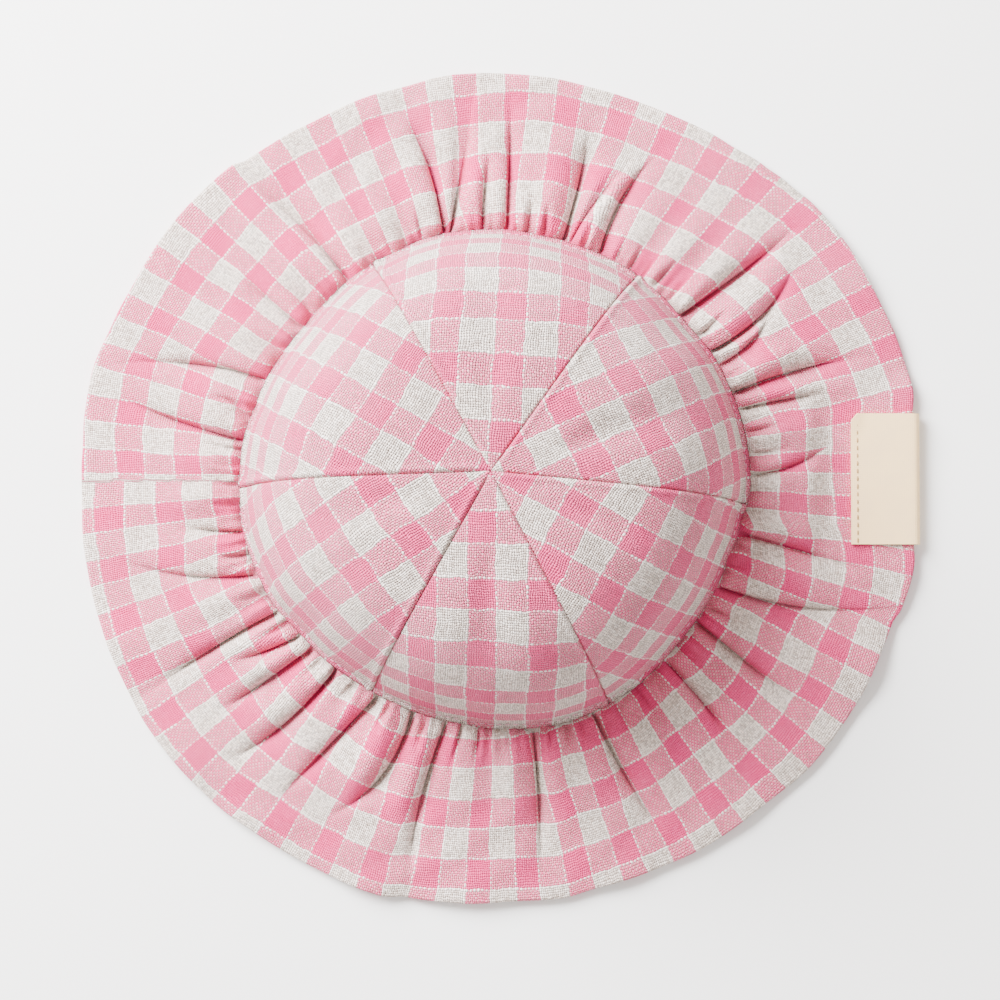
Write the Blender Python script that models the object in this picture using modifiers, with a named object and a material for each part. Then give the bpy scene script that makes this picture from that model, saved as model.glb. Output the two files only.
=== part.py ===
"""A baby's sun hat that lies crown up: six crown gores, a gathered brim and a folded label.

Lengths are in metres. The hat rests on the plane z = 0, +X is the label's side and +Z is up.
Angles are in degrees round the hat's middle, counter-clockwise from +X as seen from above.
"""

import math

import bpy
from mathutils import Vector

# Main sizes
CROWN_RADIUS = 0.0768
CROWN_RISE = 0.0555
BRIM_RADIUS = 0.1276
SEAM_HEIGHT = 0.0078
CROWN_CLOTH = 0.0014
BRIM_CLOTH = 0.0018
LABEL_CLOTH = 0.0010
PIECE_GAP = 0.00036

# Crown
APEX_X = -0.0006
APEX_Y = 0.0010
APEX_HOLE = 0.0014
GORE_PUFF = 0.0022
DENT_DEPTH = 0.0020
GORE_COLUMNS = 10

# Brim
BRIM_TUCK = 0.0032
FOLD_DEPTH = 0.0066
FOLD_WIDTH_SEAM = 0.0022
FOLD_WIDTH_EDGE = 0.0085
FOLD_SHARE_OF_SPACING = 0.30
MAX_SLOPE_GAIN = 1.9
WAVE_LIFT = 0.0024

# Label: how far its flaps reach, its length along the brim's edge, and where its fold and middle are
LABEL_FLAP = 0.0203
LABEL_LENGTH = 0.0410
LABEL_OVERHANG = 0.0011
LABEL_MIDDLE_Y = 0.0021
LABEL_NOSE = 0.0012
LABEL_OUTER_X = BRIM_RADIUS + LABEL_OVERHANG
LABEL_INNER_X = LABEL_OUTER_X - LABEL_FLAP
LABEL_STATIONS = 6
LABEL_NOSE_STEPS = 6

# Where the gore seams meet the brim, in degrees
GORE_SEAMS = (56.0, 119.5, 181.0, 239.0, 297.0, 355.3)

# Crown side view: radius as a share of CROWN_RADIUS, height as a share of CROWN_RISE, puff share
CROWN_PROFILE = (
    # radius, height, puff
    (0.000, 1.000, 0.10),
    (0.130, 0.999, 0.30),
    (0.290, 0.990, 0.60),
    (0.440, 0.968, 0.85),
    (0.570, 0.925, 1.00),
    (0.680, 0.850, 1.00),
    (0.770, 0.740, 0.95),
    (0.845, 0.590, 0.85),
    (0.905, 0.405, 0.70),
    (0.955, 0.205, 0.45),
    (0.990, 0.040, 0.10),
    (1.000, 0.000, 0.00),
)

# Soft dents in the crown, each a line that runs outwards from the top
CROWN_DENTS = (
    # angle, start share, end share, depth as a share of DENT_DEPTH, half width in degrees
    (92.0, 0.12, 0.85, 0.80, 9.0),
    (19.0, 0.18, 0.90, 1.00, 8.0),
    (336.0, 0.18, 0.72, 0.60, 7.0),
    (268.0, 0.20, 0.88, 0.90, 8.0),
    (194.0, 0.15, 0.85, 0.75, 9.0),
    (212.0, 0.40, 0.90, 0.40, 6.0),
    (150.0, 0.30, 0.80, 0.35, 10.0),
    (318.0, 0.35, 0.85, 0.40, 8.0),
)

# Seen from above: the crown's seam line, radius as a share of CROWN_RADIUS
SEAM_OUTLINE = (
    # angle, radius
    (0, 1.012),
    (30, 1.005),
    (40, 0.992),
    (58, 1.007),
    (74, 1.006),
    (93, 1.018),
    (102, 1.022),
    (120, 1.010),
    (140, 0.994),
    (160, 1.012),
    (170, 1.026),
    (190, 1.030),
    (205, 1.018),
    (220, 0.984),
    (240, 0.966),
    (260, 0.966),
    (270, 0.976),
    (285, 0.990),
    (300, 0.982),
    (320, 0.962),
    (340, 0.968),
    (350, 0.984),
)

# Seen from above: the brim's edge, radius as a share of BRIM_RADIUS
EDGE_OUTLINE = (
    # angle, radius
    (0, 0.996),
    (10, 1.006),
    (20, 1.020),
    (30, 1.017),
    (40, 1.018),
    (50, 1.001),
    (60, 0.987),
    (70, 0.982),
    (80, 0.987),
    (90, 0.987),
    (110, 0.985),
    (120, 0.977),
    (130, 0.996),
    (140, 1.001),
    (150, 0.997),
    (160, 1.005),
    (170, 1.003),
    (180, 0.990),
    (190, 1.000),
    (200, 1.007),
    (220, 1.011),
    (240, 1.009),
    (250, 1.008),
    (260, 1.001),
    (270, 0.994),
    (280, 0.997),
    (290, 0.990),
    (300, 0.993),
    (310, 0.993),
    (320, 1.008),
    (330, 1.006),
    (338, 1.000),
    (341, 0.994),
    (350, 1.004),
)

# Brim side view: share of the way from seam to edge, height of the ridges as a share of SEAM_HEIGHT
BRIM_PROFILE = (
    # out, height
    (0.00, 1.00),
    (0.07, 1.30),
    (0.18, 1.36),
    (0.34, 1.20),
    (0.54, 0.84),
    (0.77, 0.52),
    (1.00, 0.32),
)

# Soft waves that lift the brim's edge off the surface it lies on
EDGE_WAVES = (
    # angle, lift as a share of WAVE_LIFT, half width in degrees
    (30.0, 0.75, 9.0),
    (57.0, 0.54, 8.0),
    (80.0, 0.42, 6.0),
    (98.0, 0.75, 4.0),
    (116.0, 0.33, 6.0),
    (146.0, 0.58, 12.0),
    (188.0, 0.50, 8.0),
    (203.5, 0.75, 4.5),
    (221.0, 0.58, 6.0),
    (234.0, 0.42, 5.0),
    (250.0, 0.71, 5.0),
    (268.0, 0.50, 6.0),
    (287.0, 0.54, 7.0),
    (306.0, 0.58, 7.0),
    (320.0, 0.33, 4.0),
    (333.0, 1.00, 5.0),
    (349.0, 0.58, 5.0),
)

# The gathers' creases, in order round the seam
CREASES = (
    # angle at seam, angle at tip, reach from seam to edge, depth share
    (0.5, 0.5, 0.28, 0.50),
    (6.5, 6.5, 0.34, 0.75),
    (12.0, 12.0, 0.24, 0.55),
    (16.5, 16.5, 0.44, 0.85),
    (21.0, 20.5, 0.73, 1.00),
    (24.8, 25.0, 0.22, 0.45),
    (28.5, 30.0, 0.38, 0.75),
    (32.0, 35.5, 0.66, 1.00),
    (36.5, 38.0, 0.30, 0.65),
    (42.8, 40.6, 0.88, 1.00),
    (46.8, 46.6, 0.24, 0.40),
    (50.5, 50.5, 0.28, 0.60),
    (53.8, 54.0, 0.26, 0.60),
    (58.0, 58.5, 0.20, 0.40),
    (62.0, 62.0, 0.22, 0.40),
    (66.0, 65.0, 0.72, 0.90),
    (70.0, 70.0, 0.26, 0.40),
    (74.0, 75.5, 0.74, 1.00),
    (79.0, 79.5, 0.30, 0.60),
    (83.0, 83.3, 0.28, 0.55),
    (88.2, 88.0, 1.00, 0.90),
    (93.0, 91.2, 0.49, 0.65),
    (99.0, 93.8, 1.00, 0.85),
    (102.4, 104.6, 1.00, 1.00),
    (107.5, 107.0, 0.32, 0.60),
    (114.0, 114.0, 0.24, 0.45),
    (120.0, 120.0, 0.20, 0.35),
    (126.0, 128.4, 0.85, 0.75),
    (132.0, 133.0, 0.24, 0.35),
    (137.5, 137.5, 0.32, 0.45),
    (141.8, 141.8, 0.40, 0.35),
    (148.0, 148.5, 0.24, 0.35),
    (155.5, 156.4, 0.36, 0.60),
    (165.0, 161.0, 0.38, 0.60),
    (169.5, 167.5, 0.82, 0.80),
    (173.0, 173.0, 0.24, 0.45),
    (178.0, 178.0, 0.26, 0.40),
    (184.0, 183.5, 0.28, 0.45),
    (190.0, 188.5, 0.36, 0.65),
    (195.8, 194.8, 0.24, 0.60),
    (200.0, 199.2, 0.22, 0.50),
    (204.8, 204.6, 0.26, 0.50),
    (209.8, 210.5, 1.00, 1.00),
    (214.0, 213.6, 0.20, 0.45),
    (217.2, 215.6, 0.34, 0.75),
    (221.2, 219.8, 0.60, 0.85),
    (224.8, 223.4, 0.24, 0.50),
    (228.8, 226.2, 0.80, 1.00),
    (234.4, 232.0, 0.28, 0.55),
    (240.0, 236.0, 0.64, 0.95),
    (244.4, 239.8, 0.28, 0.50),
    (249.5, 243.5, 0.72, 0.95),
    (254.0, 251.6, 0.28, 0.50),
    (258.2, 257.4, 1.00, 1.00),
    (262.2, 261.0, 0.34, 0.65),
    (266.0, 265.6, 0.26, 0.50),
    (271.5, 271.5, 0.38, 0.50),
    (278.4, 276.6, 0.74, 0.95),
    (282.0, 281.4, 0.26, 0.50),
    (285.6, 285.4, 0.24, 0.50),
    (289.2, 289.4, 0.24, 0.50),
    (292.8, 295.6, 0.86, 1.00),
    (297.8, 298.6, 0.28, 0.55),
    (304.2, 304.4, 0.28, 0.55),
    (308.6, 308.4, 0.24, 0.45),
    (313.2, 312.0, 0.54, 0.85),
    (318.2, 318.0, 0.26, 0.50),
    (325.6, 324.4, 0.80, 0.95),
    (330.2, 331.6, 0.34, 0.65),
    (335.0, 341.2, 1.00, 1.00),
    (344.2, 344.4, 0.26, 0.50),
    (348.9, 347.6, 0.60, 0.85),
    (354.0, 353.6, 0.34, 0.50),
)

# Rings of the brim, as shares of the way from seam to edge
BRIM_RINGS = (0.0, 0.07, 0.18, 0.34, 0.54, 0.77, 1.0)
WIDE_SPACING_DEG = 4.6

# Where the edge's waves start, as a share of the way out
WAVES_FROM = 0.40

# A crease turns from its angle at the seam to its angle at the tip between these shares of its reach
CREASE_TURN_FROM = -0.15
CREASE_TURN_TO = 1.1

# The stiff patch of brim that the label is folded over is a little larger than the label
PATCH_LEAD = 0.0042
PATCH_MARGIN_ANGLE = 0.8
PATCH_FADE_ANGLE = 4.0
PATCH_FADE_SHARE = 0.667
PATCH_ANGLE = math.degrees(math.atan2(LABEL_MIDDLE_Y, LABEL_INNER_X))
PATCH_HALF_ANGLE = math.degrees(math.atan2(LABEL_LENGTH / 2.0, LABEL_INNER_X)) + PATCH_MARGIN_ANGLE
PATCH_FROM = (LABEL_INNER_X - PATCH_LEAD - CROWN_RADIUS) / (BRIM_RADIUS - CROWN_RADIUS)

# The patch's height at its inner line and at the brim's edge, as shares of SEAM_HEIGHT
PATCH_INNER_HEIGHT = 0.628
PATCH_EDGE_HEIGHT = 0.513

# Colours
PINK = (0.86, 0.47, 0.58, 1.0)
CREAM = (0.87, 0.75, 0.62, 1.0)
CLOTH_ROUGHNESS = 0.9


def smooth_step(low, high, value):
    """Return 0 below low, 1 above high and an even rise between them."""
    share = min(1.0, max(0.0, (value - low) / (high - low)))
    return share * share * (3.0 - 2.0 * share)


def table_value(table, column, at):
    """Return a column of a table at a value of its first column, by straight lines between rows."""
    for low, high in zip(table, table[1:]):
        if at <= high[0]:
            share = max(0.0, (at - low[0]) / (high[0] - low[0]))
            return low[column] + share * (high[column] - low[column])
    return table[-1][column]


def round_value(table, angle):
    """Return the second column of a table of angles at an angle, with a smooth wrap past 360."""
    angle %= 360.0
    rows = [table[-1]] + list(table) + [table[0]]
    turns = [rows[0][0] - 360.0] + [row[0] for row in table] + [table[0][0] + 360.0]
    for i in range(len(rows) - 1):
        if angle <= turns[i + 1]:
            share = smooth_step(turns[i], turns[i + 1], angle)
            return rows[i][1] + share * (rows[i + 1][1] - rows[i][1])
    return rows[-1][1]


def seam_radius(angle):
    """Return the radius of the crown's seam line at an angle."""
    return CROWN_RADIUS * round_value(SEAM_OUTLINE, angle)


def edge_radius(angle):
    """Return the radius of the brim's edge at an angle."""
    return BRIM_RADIUS * round_value(EDGE_OUTLINE, angle)


def turned(angle, radius):
    """Return x and y of a point at an angle and a radius."""
    return radius * math.cos(math.radians(angle)), radius * math.sin(math.radians(angle))


def crease_angle(crease, out):
    """Return the angle of a crease at a share of the way from seam to edge."""
    seam, tip, reach, _ = crease
    return seam + (tip - seam) * smooth_step(CREASE_TURN_FROM, CREASE_TURN_TO * reach, out)


def crease_strength(crease, out):
    """Return how deep a crease is at a share of the way out, from 0 to its depth share."""
    reach, depth = crease[2], crease[3]
    if reach >= 1.0:
        fade = 1.0 - 0.62 * smooth_step(0.25, 1.0, out)
    else:
        fade = 1.0 - smooth_step(0.35 * reach, reach, out)
    return depth * fade * smooth_step(0.0, 0.08, out)


def crease_lines(out):
    """Return angle, strength and the two half widths of each crease at a share of the way out."""
    angles = [crease_angle(c, out) for c in CREASES]
    strengths = [crease_strength(c, out) for c in CREASES]
    count = len(CREASES)
    radius = CROWN_RADIUS + out * (BRIM_RADIUS - CROWN_RADIUS)
    widest = FOLD_WIDTH_SEAM + out * (FOLD_WIDTH_EDGE - FOLD_WIDTH_SEAM)
    lines = []
    for i in range(count):
        widths = []
        for way in (-1, 1):
            spacing = 0.0
            weight = 1.0
            for step in (1, 2, 3):
                near = (i + way * (step - 1)) % count
                far = (i + way * step) % count
                turn = ((angles[far] - angles[near]) * way) % 360.0
                spacing += weight * turn
                weight *= 1.0 - min(1.0, strengths[far] / 0.3)
            width = FOLD_SHARE_OF_SPACING * math.radians(spacing) * radius
            widths.append(min(widest, width))
        lines.append((angles[i], strengths[i], widths[0], widths[1]))
    return lines


def in_label_patch(angle, out):
    """Return 1 where the label holds the brim flat, 0 away from it."""
    turn = abs((angle - PATCH_ANGLE + 180.0) % 360.0 - 180.0)
    across = 1.0 - smooth_step(PATCH_HALF_ANGLE, PATCH_HALF_ANGLE + PATCH_FADE_ANGLE, turn)
    return across * smooth_step(PATCH_FADE_SHARE * PATCH_FROM, PATCH_FROM, out)


def label_patch_height(out):
    """Return the height of the brim's top in the label's patch, which leaves room for the lower flap."""
    share = (out - PATCH_FROM) / (1.0 - PATCH_FROM)
    height = SEAM_HEIGHT * (PATCH_INNER_HEIGHT + (PATCH_EDGE_HEIGHT - PATCH_INNER_HEIGHT) * share)
    return max(height, BRIM_CLOTH + LABEL_CLOTH + 2.0 * PIECE_GAP)


def brim_height(angle, out, lines):
    """Return the height of the brim's top at an angle and a share of the way out."""
    height = SEAM_HEIGHT * table_value(BRIM_PROFILE, 1, out)
    radius = seam_radius(angle) + out * (edge_radius(angle) - seam_radius(angle))
    for crease, strength, before, after in lines:
        turn = (angle - crease + 180.0) % 360.0 - 180.0
        arc = math.radians(turn) * radius
        reach = abs(arc) / (after if arc > 0.0 else before)
        if reach < 5.0 and strength > 0.0:
            height -= FOLD_DEPTH * strength * math.exp(-(reach**1.3))
    lifted = WAVE_LIFT * smooth_step(WAVES_FROM, 1.0, out)
    for middle, lift, half_width in EDGE_WAVES:
        turn = (angle - middle + 180.0) % 360.0 - 180.0
        height += lifted * lift * math.exp(-((turn / half_width) ** 2))
    patch = in_label_patch(angle, out)
    height += patch * (label_patch_height(out) - height)
    return max(BRIM_CLOTH, height)


def column_angles(out):
    """Return the angles of the brim's columns: each crease, and two or three points up to the next."""
    angles = [crease_angle(c, out) for c in CREASES]
    found = []
    for i, crease in enumerate(CREASES):
        following = CREASES[(i + 1) % len(CREASES)]
        spacing = (following[0] - crease[0]) % 360.0
        parts = 4 if spacing > WIDE_SPACING_DEG else 3
        turn = (angles[(i + 1) % len(CREASES)] - angles[i]) % 360.0
        found += [angles[i] + turn * part / parts for part in range(parts)]
    return found


def brim_point(angle, out, height):
    """Return the point of the brim at an angle and a share of the way out."""
    inner = seam_radius(angle)
    x, y = turned(angle, inner + out * (edge_radius(angle) - inner))
    return Vector((x, y, height))


def slope_gain(ring_points, i, below, above):
    """Return how much taller than the cloth's thickness an upright cut through the brim is."""
    count = len(ring_points)
    along = ring_points[(i + 1) % count] - ring_points[i - 1]
    outward = above[i] - below[i]
    normal = along.cross(outward).normalized()
    return min(MAX_SLOPE_GAIN, 1.0 / max(0.3, abs(normal.z)))


def mesh_object(name, points, faces, colour):
    """Make an object of points and faces with a material of its own."""
    mesh = bpy.data.meshes.new(name)
    mesh.from_pydata([tuple(p) for p in points], [], faces)
    mesh.validate()
    mesh.shade_smooth()
    mesh.set_sharp_from_angle(angle=math.radians(55.0))
    item = bpy.data.objects.new(name, mesh)
    bpy.context.scene.collection.objects.link(item)
    material = bpy.data.materials.new(name + "_cloth")
    material.use_nodes = True
    shader = material.node_tree.nodes["Principled BSDF"]
    shader.inputs["Base Color"].default_value = colour
    shader.inputs["Roughness"].default_value = CLOTH_ROUGHNESS
    material.diffuse_color = colour
    mesh.materials.append(material)
    return item


def thicken(item, thickness):
    """Give an open surface its cloth's thickness, on the side that its faces point away from."""
    solid = item.modifiers.new("cloth", "SOLIDIFY")
    solid.thickness = thickness
    solid.offset = -1.0
    solid.use_even_offset = True
    solid.use_quality_normals = True


def grid_faces(rows, columns, closed=False):
    """Return the quads of a grid of points that is stored row by row."""
    faces = []
    for row in range(rows - 1):
        for column in range(columns if closed else columns - 1):
            right = (column + 1) % columns
            low, high = row * columns, (row + 1) * columns
            faces.append((low + column, high + column, high + right, low + right))
    return faces


def make_brim():
    """Make the gathered brim: a top and an underside that are closed at the seam and at the edge."""
    tops = []
    tuck_angles = column_angles(0.0)
    tuck_ring = []
    for angle in tuck_angles:
        x, y = turned(angle, seam_radius(angle) - BRIM_TUCK)
        tuck_ring.append(Vector((x, y, SEAM_HEIGHT)))
    tops.append(tuck_ring)
    for out in BRIM_RINGS:
        lines = crease_lines(out)
        ring = [brim_point(a, out, brim_height(a, out, lines)) for a in column_angles(out)]
        tops.append(ring)
    columns = len(tops[0])
    unders = []
    for number, ring in enumerate(tops):
        below = tops[max(0, number - 1)]
        above = tops[min(len(tops) - 1, number + 1)]
        under = []
        for i, point in enumerate(ring):
            drop = BRIM_CLOTH * slope_gain(ring, i, below, above)
            under.append(Vector((point.x, point.y, max(0.0, point.z - drop))))
        unders.append(under)
    points = [point for ring in tops + unders for point in ring]
    rows = len(tops)
    faces = grid_faces(rows, columns, closed=True)
    half = rows * columns
    faces += [tuple(half + i for i in reversed(face)) for face in grid_faces(rows, columns, True)]
    last = (rows - 1) * columns
    for i in range(columns):
        right = (i + 1) % columns
        faces.append((i, right, half + right, half + i))
        faces.append((last + right, last + i, half + last + i, half + last + right))
    return mesh_object("brim", points, faces, PINK)


def crown_dent(angle, radius_share):
    """Return how far the crown is pressed in at an angle and a share of its radius."""
    total = 0.0
    for at, start, end, depth, half_width in CROWN_DENTS:
        turn = (angle - at + 180.0) % 360.0 - 180.0
        along = smooth_step(start, start + 0.25, radius_share)
        along *= 1.0 - smooth_step(end - 0.25, end, radius_share)
        total += depth * along * math.exp(-((turn / half_width) ** 2))
    return DENT_DEPTH * total


def make_gore(number):
    """Make one crown gore between two seams, puffed out along its middle."""
    start = GORE_SEAMS[number]
    width = (GORE_SEAMS[(number + 1) % len(GORE_SEAMS)] - start) % 360.0
    foot = CROWN_CLOTH * 0.45 + PIECE_GAP
    rise = CROWN_RISE - foot
    points = []
    for row, (radius_share, height_share, puff_share) in enumerate(CROWN_PROFILE):
        before = CROWN_PROFILE[max(0, row - 1)]
        after = CROWN_PROFILE[min(len(CROWN_PROFILE) - 1, row + 1)]
        run = (after[0] - before[0]) * CROWN_RADIUS
        fall = (before[1] - after[1]) * CROWN_RISE
        length = math.hypot(run, fall)
        for column in range(GORE_COLUMNS + 1):
            across = column / GORE_COLUMNS
            angle = start + width * across
            seam_x, seam_y = turned(angle, seam_radius(angle))
            share = max(radius_share, APEX_HOLE / CROWN_RADIUS)
            side = (PIECE_GAP / 2.0) / (share * CROWN_RADIUS)
            angle += math.degrees(side) * (1.0 - 2.0 * across)
            seam_x, seam_y = turned(angle, seam_radius(angle))
            x = APEX_X + (seam_x - APEX_X) * share
            y = APEX_Y + (seam_y - APEX_Y) * share
            z = SEAM_HEIGHT + foot + rise * height_share
            puff = GORE_PUFF * puff_share * (1.0 - abs(2.0 * across - 1.0) ** 2.4)
            puff -= crown_dent(angle, radius_share) * (1.0 - abs(2.0 * across - 1.0) ** 4)
            x += math.cos(math.radians(angle)) * puff * fall / length
            y += math.sin(math.radians(angle)) * puff * fall / length
            z += puff * run / length
            points.append(Vector((x, y, z)))
    faces = grid_faces(len(CROWN_PROFILE), GORE_COLUMNS + 1)
    item = mesh_object("crown_gore_" + str(number + 1), points, faces, PINK)
    thicken(item, CROWN_CLOTH)
    return item


def make_label():
    """Make the label: a ribbon that is folded round the brim's edge, a gap away from it."""
    nose_x = LABEL_OUTER_X - LABEL_CLOTH
    points = []
    columns = 0
    for station in range(LABEL_STATIONS + 1):
        y = LABEL_MIDDLE_Y + LABEL_LENGTH * (station / LABEL_STATIONS - 0.5)
        profile = []
        flap_xs = [LABEL_INNER_X + (nose_x - LABEL_NOSE - LABEL_INNER_X) * i / 3.0 for i in range(4)]
        heights = []
        for x in flap_xs:
            angle = math.degrees(math.atan2(y, x))
            inner = seam_radius(angle)
            out = (math.hypot(x, y) - inner) / (edge_radius(angle) - inner)
            heights.append(label_patch_height(min(1.0, out)) + PIECE_GAP)
        profile += list(zip(flap_xs, heights))
        top = heights[-1]
        bottom = top - BRIM_CLOTH - 2.0 * PIECE_GAP
        middle = (top + bottom) / 2.0
        radius = (top - bottom) / 2.0
        for step in range(1, LABEL_NOSE_STEPS):
            turn = math.pi * (0.5 - step / LABEL_NOSE_STEPS)
            x = flap_xs[-1] + LABEL_NOSE * math.cos(turn)
            profile.append((x, middle + radius * math.sin(turn)))
        for x, height in zip(reversed(flap_xs), reversed(heights)):
            profile.append((x, height - BRIM_CLOTH - 2.0 * PIECE_GAP))
        columns = len(profile)
        points += [Vector((x, y, z)) for x, z in profile]
    faces = grid_faces(LABEL_STATIONS + 1, columns)
    item = mesh_object("label", points, faces, CREAM)
    thicken(item, LABEL_CLOTH)
    return item


def centre_on_origin(items):
    """Move the points so that the middle of the whole hat's box is over the origin."""
    graph = bpy.context.evaluated_depsgraph_get()
    corners = []
    for item in items:
        shown = item.evaluated_get(graph)
        corners += [Vector(corner) for corner in shown.bound_box]
    shift_x = -(min(c.x for c in corners) + max(c.x for c in corners)) / 2.0
    shift_y = -(min(c.y for c in corners) + max(c.y for c in corners)) / 2.0
    for item in items:
        for vertex in item.data.vertices:
            vertex.co.x += shift_x
            vertex.co.y += shift_y


def main():
    """Make the hat."""
    for item in list(bpy.data.objects):
        bpy.data.objects.remove(item, do_unlink=True)
    items = [make_brim()]
    items += [make_gore(number) for number in range(len(GORE_SEAMS))]
    items.append(make_label())
    centre_on_origin(items)


main()
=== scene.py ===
"""A baby's sun hat in checked cloth, lying crown up on a pale floor.

The hat is a crown of six sewn gores, a gathered brim of doubled cloth and a plain ribbon label folded
over the brim's edge. Lengths are in metres and angles in degrees, counter-clockwise from the label's side
seen from above.
"""

import logging
import math
from collections.abc import Callable
from dataclasses import dataclass, field
from enum import Enum

import bpy
import numpy as np
from bpy.types import Material, Object
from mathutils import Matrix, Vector


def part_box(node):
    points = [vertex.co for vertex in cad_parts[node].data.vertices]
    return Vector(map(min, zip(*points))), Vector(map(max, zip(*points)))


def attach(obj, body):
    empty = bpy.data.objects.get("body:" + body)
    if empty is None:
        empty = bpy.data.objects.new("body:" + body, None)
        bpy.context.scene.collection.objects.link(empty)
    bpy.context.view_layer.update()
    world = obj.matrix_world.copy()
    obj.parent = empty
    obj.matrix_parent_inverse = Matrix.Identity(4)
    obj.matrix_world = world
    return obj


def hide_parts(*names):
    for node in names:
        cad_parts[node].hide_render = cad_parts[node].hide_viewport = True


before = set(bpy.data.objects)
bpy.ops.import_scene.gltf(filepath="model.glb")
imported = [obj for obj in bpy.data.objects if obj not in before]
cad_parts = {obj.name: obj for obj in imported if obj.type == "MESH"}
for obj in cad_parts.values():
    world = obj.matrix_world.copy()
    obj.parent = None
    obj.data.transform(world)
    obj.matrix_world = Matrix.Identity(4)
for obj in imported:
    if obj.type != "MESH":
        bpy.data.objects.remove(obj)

LOG = logging.getLogger("sun_hat")
Colour = tuple[float, float, float, float]
Numbers = np.ndarray | float
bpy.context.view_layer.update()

# The hat's middle, before the model's box was centred over the origin
LABEL_OUTER_X = 0.1287
LABEL_LOW_Y, LABEL_HIGH_Y = -0.0184, 0.0226
LABEL_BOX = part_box("label")
MIDDLE_X = LABEL_BOX[1][0] - LABEL_OUTER_X
MIDDLE_Y = (LABEL_BOX[0][1] + LABEL_BOX[1][1] - LABEL_LOW_Y - LABEL_HIGH_Y) / 2.0

CROWN_RADIUS = 0.0750
CROWN_RISE = 0.0555
BRIM_RADIUS = 0.1276
SEAM_HEIGHT = 0.0078
APEX = (-0.0016, 0.0010)

# The label's angle, the turns over which its hold on the brim's edge fades, how far that edge stays in
LABEL_ANGLE = 1.0
LABEL_HOLD = (9.0, 13.0)
EDGE_INSIDE_LABEL = 0.0019

# Where a pink stripe's middle lies in the checks' map, in checks
PINK_MIDDLE = 0.229

# Where the gore seams meet the brim
GORE_SEAMS = (56.0, 119.5, 181.0, 239.0, 297.0, 355.3)

# Crown side view: radius share, height share, puff share
CROWN_PROFILE = (
    (0.000, 1.000, 0.10),
    (0.130, 0.999, 0.30),
    (0.290, 0.990, 0.60),
    (0.440, 0.968, 0.85),
    (0.570, 0.925, 1.00),
    (0.680, 0.850, 1.00),
    (0.770, 0.740, 0.95),
    (0.845, 0.590, 0.85),
    (0.905, 0.405, 0.70),
    (0.955, 0.205, 0.45),
    (0.990, 0.040, 0.10),
    (1.000, 0.000, 0.00),
)

# Soft dents in the crown: angle, start share, end share, depth, half width
CROWN_DENTS = (
    (92.0, 0.12, 0.85, 0.0016, 9.0),
    (19.0, 0.18, 0.90, 0.0020, 8.0),
    (336.0, 0.18, 0.72, 0.0012, 7.0),
    (268.0, 0.20, 0.88, 0.0018, 8.0),
    (194.0, 0.15, 0.85, 0.0015, 9.0),
    (212.0, 0.40, 0.90, 0.0008, 6.0),
    (150.0, 0.30, 0.80, 0.0007, 10.0),
    (318.0, 0.35, 0.85, 0.0008, 8.0),
)

# Seam line from above: angle, radius share
SEAM_OUTLINE = (
    (0, 1.012), (30, 1.005), (40, 0.992), (58, 1.007), (74, 1.006), (93, 1.018), (102, 1.022),
    (120, 1.010), (140, 0.994), (160, 1.012), (170, 1.026), (190, 1.030), (205, 1.018), (220, 0.984),
    (240, 0.966), (260, 0.966), (270, 0.976), (285, 0.990), (300, 0.982), (320, 0.962), (340, 0.968),
    (350, 0.984),
)

# Brim's edge from above: angle, radius share
EDGE_OUTLINE = (
    (0, 1.008), (5, 1.012), (13, 1.02), (20, 1.019), (26, 1.015), (35, 1.017), (41, 1.015), (46, 1.006),
    (50, 0.998), (56, 0.988), (65, 0.982), (76, 0.981), (83, 0.986), (92, 0.99), (97, 0.988), (103, 0.981),
    (109, 0.983), (117, 0.977), (123, 0.981), (127.5, 0.985), (130, 0.9975), (140, 0.999), (151, 0.994),
    (157, 0.998), (164, 1.0062), (170, 1.002), (176, 0.9945), (181, 0.992), (190, 0.9975), (198, 1.002),
    (206, 1.005), (215, 1.013), (229, 1.014), (235, 1.009), (243, 1.01), (254.5, 1.0158), (257.5, 1.005),
    (265, 0.999), (273, 0.992), (279, 0.9965), (284, 0.989), (292, 0.99), (300, 0.9945), (309, 0.992),
    (318, 1.004), (329, 1.003), (336, 0.998), (340.5, 0.999), (343, 1.0105), (347, 1.0142), (354, 1.011),
)

# Brim side view: share of the way out, ridge height as a share of the seam's height
BRIM_PROFILE = (
    (0.00, 1.00), (0.07, 1.30), (0.18, 1.36), (0.34, 1.20), (0.54, 0.84), (0.77, 0.52), (1.00, 0.32),
)

# Soft waves of the brim's edge: angle, lift, half width
EDGE_WAVES = (
    (30.0, 0.0018, 9.0), (57.0, 0.0013, 8.0), (80.0, 0.0010, 6.0), (98.0, 0.0018, 4.0),
    (116.0, 0.0008, 6.0), (146.0, 0.0014, 12.0), (188.0, 0.0012, 8.0), (203.5, 0.0018, 4.5),
    (221.0, 0.0014, 6.0), (234.0, 0.0010, 5.0), (250.0, 0.0017, 5.0), (268.0, 0.0012, 6.0),
    (287.0, 0.0013, 7.0), (306.0, 0.0014, 7.0), (320.0, 0.0008, 4.0), (333.0, 0.0024, 5.0),
    (349.0, 0.0014, 5.0),
)

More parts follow.
